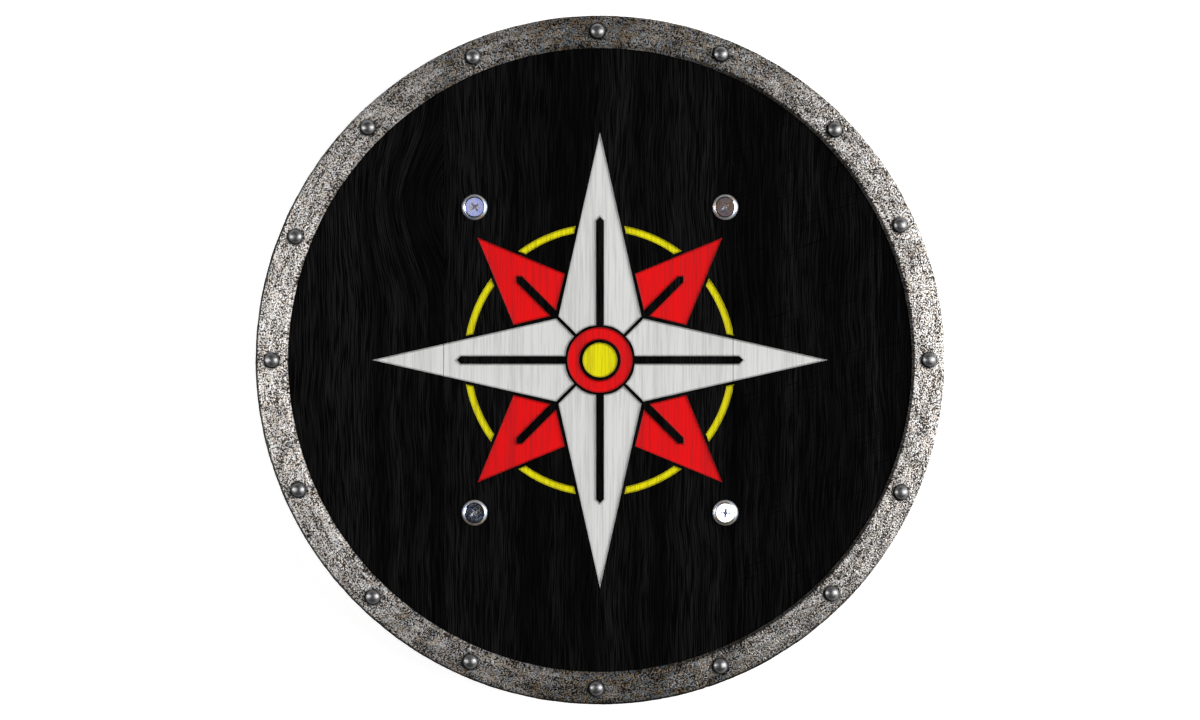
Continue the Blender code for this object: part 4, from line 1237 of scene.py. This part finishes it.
def make_stitches(name, centre_x, width, line, directions, thread, tree):
    """Saddle stitches along both long edges, on both faces of the strap."""
    off = width / 2 - STITCH_INSET
    out = STRAP_THICKNESS / 2 - THREAD_SUNK
    points, edges = [], []
    for x in (-off, off):
        for side in (1, -1):
            start = len(points)
            for (y, z), along in zip(line, directions):
                if abs(y) > BOLT_Y + STRAP_END_MARGIN - STRAP_CORNER_RADIUS:
                    continue
                across = Vector((-along.y, along.x)) * side * out
                points.append((centre_x + x, y + across.x, z + across.y))
            edges += [(i, i + 1) for i in range(start, len(points) - 1)]
    rows = bpy.data.meshes.new(name + "_rows")
    rows.from_pydata(points, edges, [])
    values = {"Stitch Length": STITCH_LENGTH, "Stitch Gap": STITCH_GAP, "Thread Radius": THREAD_RADIUS}
    values |= {"Thread": thread}
    mesh = evaluated_mesh(with_nodes(loose(name + "_rows", rows), tree, values), name + "_stitches")
    mesh.shade_smooth()
    for vertex in mesh.vertices:
        vertex.co.z = max(vertex.co.z, 0.0)
    place(name + "_stitches", mesh, [])


def stitch_tree():
    """Geometry nodes that lay short lengths of thread along every edge of a mesh."""
    inputs = {"Stitch Length": "Float", "Stitch Gap": "Float", "Thread Radius": "Float", "Thread": "Material"}
    tree, given = new_shape_tree("saddle_stitches", inputs)
    length, radius = given["Stitch Length"], given["Thread Radius"]
    rows = add(tree, "GeometryNodeMeshToCurve", {"Mesh": given["Geometry"]})
    step = add(tree, "ShaderNodeMath", {0: length, 1: given["Stitch Gap"]}, operation="ADD")
    spots = {"Curve": rows, "Length": step}
    spots = add(tree, "GeometryNodeCurveToPoints", spots, output=None, mode="LENGTH").outputs
    ball = add(tree, "GeometryNodeMeshUVSphere", {"Segments": 6, "Rings": 5, "Radius": 1.0}, "Mesh")
    # A stitch is a ball of thread, pulled out along the row and pressed a little flat
    flat = add(tree, "ShaderNodeMath", {0: radius, 1: 1.4}, operation="MULTIPLY")
    half = add(tree, "ShaderNodeMath", {0: length, 1: 0.5}, operation="MULTIPLY")
    size = add(tree, "ShaderNodeCombineXYZ", {"X": radius, "Y": flat, "Z": half})
    laid = {"Points": spots["Points"], "Instance": ball, "Rotation": spots["Rotation"], "Scale": size}
    laid = add(tree, "GeometryNodeInstanceOnPoints", laid)
    return finish_shape_tree(tree, laid, given["Thread"])


# Studio

CAMERA_LENS_MM = 85
CAMERA_SENSOR_MM = 36
PICTURE_WIDTH_PX = 1200
SHIELD_IN_PICTURE_PX = 690
FLOOR_REACH = 6
CARD_Z = 1.88
CARD_SIDE = 0.06
HEAD_Z = 0.05


def make_camera():
    """Straight above the lying shield, as far off as its place in the picture asks."""
    data = bpy.data.cameras.new("camera")
    data.lens = CAMERA_LENS_MM
    data.sensor_width = CAMERA_SENSOR_MM
    view_width = 2 * SHIELD_RADIUS * PICTURE_WIDTH_PX / SHIELD_IN_PICTURE_PX
    camera = loose("camera", data)
    camera.location = (0, 0, RIM_FRONT_Z + view_width * CAMERA_LENS_MM / CAMERA_SENSOR_MM)
    bpy.context.scene.camera = camera


def make_panel(name, place_at, size, power, colour="#ffffff", aim=(0, 0, 0.04)):
    """A soft panel lamp that faces the shield and isn't seen itself."""
    data = bpy.data.lights.new(name, "AREA")
    data.shape = "RECTANGLE"
    data.size, data.size_y = size
    data.energy = power
    data.color = linear(colour)[:3]
    lamp = loose(name, data)
    lamp.location = place_at
    lamp.rotation_euler = (Vector(aim) - Vector(place_at)).to_track_quat("-Z", "Y").to_euler()
    lamp.visible_camera = False
    return lamp


def make_world():
    """A tent that is dark overhead and pale towards the horizon, most of all at the upper right, behind a
    pale backdrop that only the camera sees."""
    world = bpy.data.worlds.new("studio")
    world.use_nodes = True
    tree = world.node_tree
    heading = add(tree, "ShaderNodeTexCoord", output="Generated")
    up = add(tree, "ShaderNodeSeparateXYZ", {0: heading}, "Z")
    low_down = add(tree, "ShaderNodeMapRange", {0: up, 1: 0.10, 2: 0.65, 3: 1.0, 4: 0.0})
    sideways = {0: heading, 1: (0.85, 0.5, 0)}
    sideways = add(tree, "ShaderNodeVectorMath", sideways, "Value", operation="DOT_PRODUCT")
    wall = add(tree, "ShaderNodeMapRange", {0: sideways, 1: -0.7, 2: 0.7, 3: 0.25, 4: 0.8})
    wall = add(tree, "ShaderNodeMath", {0: low_down, 1: wall}, operation="MULTIPLY")
    tent = add(tree, "ShaderNodeMath", {0: wall, 1: 0.015}, operation="ADD")
    seen = add(tree, "ShaderNodeLightPath", output="Is Camera Ray")
    backdrop = add(tree, "ShaderNodeMath", {0: seen, 1: 0.9}, operation="MULTIPLY")
    strength = add(tree, "ShaderNodeMath", {0: tent, 1: backdrop}, operation="MAXIMUM")
    connect(tree, tree.nodes["Background"], {"Color": linear("#ffffff"), "Strength": strength})
    bpy.context.scene.world = world


def make_stage():
    """The card under the shield, and the lights."""
    mesh = bpy.data.meshes.new("floor")
    corners = [(-1, -1), (1, -1), (1, 1), (-1, 1)]
    mesh.from_pydata([(x * FLOOR_REACH, y * FLOOR_REACH, 0) for x, y in corners], [], [(0, 1, 2, 3)])
    mesh.materials.append(pale_card("matt_white_card"))
    loose("floor", mesh)
    make_world()
    # A broad panel on the right and a narrow one on the left light the rim's two sides, and leave its top and
    # bottom dark. The left one gives less light, so edges that face left stay in shade.
    make_panel("right_panel", (1.65, 0.2, 1.45), (1.2, 2.0), 46)
    make_panel("left_panel", (-1.65, 0.1, 1.45), (0.45, 1.8), 23)
    # Small cards over the bolts, each where its bolt's flat head mirrors it to the camera
    for name, x, y, power, colour in (
        ("white_card", BOLT_X, -BOLT_Y, 0.05, "#ffffff"),
        ("blue_card", -BOLT_X, BOLT_Y, 0.011, "#cdd0ff"),
        ("brown_card", BOLT_X, BOLT_Y, 0.0065, "#a08a88"),
        ("navy_card", -BOLT_X, -BOLT_Y, 0.0006, "#244c94"),
    ):
        make_panel(name, (2 * x, 2 * y, CARD_Z), (CARD_SIDE, CARD_SIDE), power, colour, (x, y, HEAD_Z))
    # Two thin strips just under the navy card, which draw slanting streaks over it in the head
    for number, off in enumerate((-0.003, 0.004)):
        x, y = -2 * BOLT_X + off, -2 * BOLT_Y
        place_at, aim = (x, y, CARD_Z - 0.01), (x, y, 0.0)
        strip = make_panel(f"streak_card_{number}", place_at, (0.003, 0.020), 0.00012, "#e8f0ff", aim)
        strip.rotation_euler.z += math.radians(15)
    bpy.context.scene.view_settings.view_transform = "Standard"
    bpy.context.scene.view_settings.look = "None"


make_planks()
make_rim()
fasteners = fastener_tree("set_on_points")
zinc = zinc_plate("bright_zinc_plate")
make_rivets(fasteners)
make_bolts(fasteners, zinc)
make_washers(fasteners, zinc)
make_nuts(fasteners, zinc)
leather = waxed_leather("waxed_brown_leather")
thread = waxed_thread("waxed_linen_thread")
stitches = stitch_tree()
make_strap("arm_strap", -BOLT_X, ARM_STRAP_WIDTH, leather, thread, stitches)
make_strap("hand_strap", BOLT_X, HAND_STRAP_WIDTH, leather, thread, stitches)
make_camera()
make_stage()
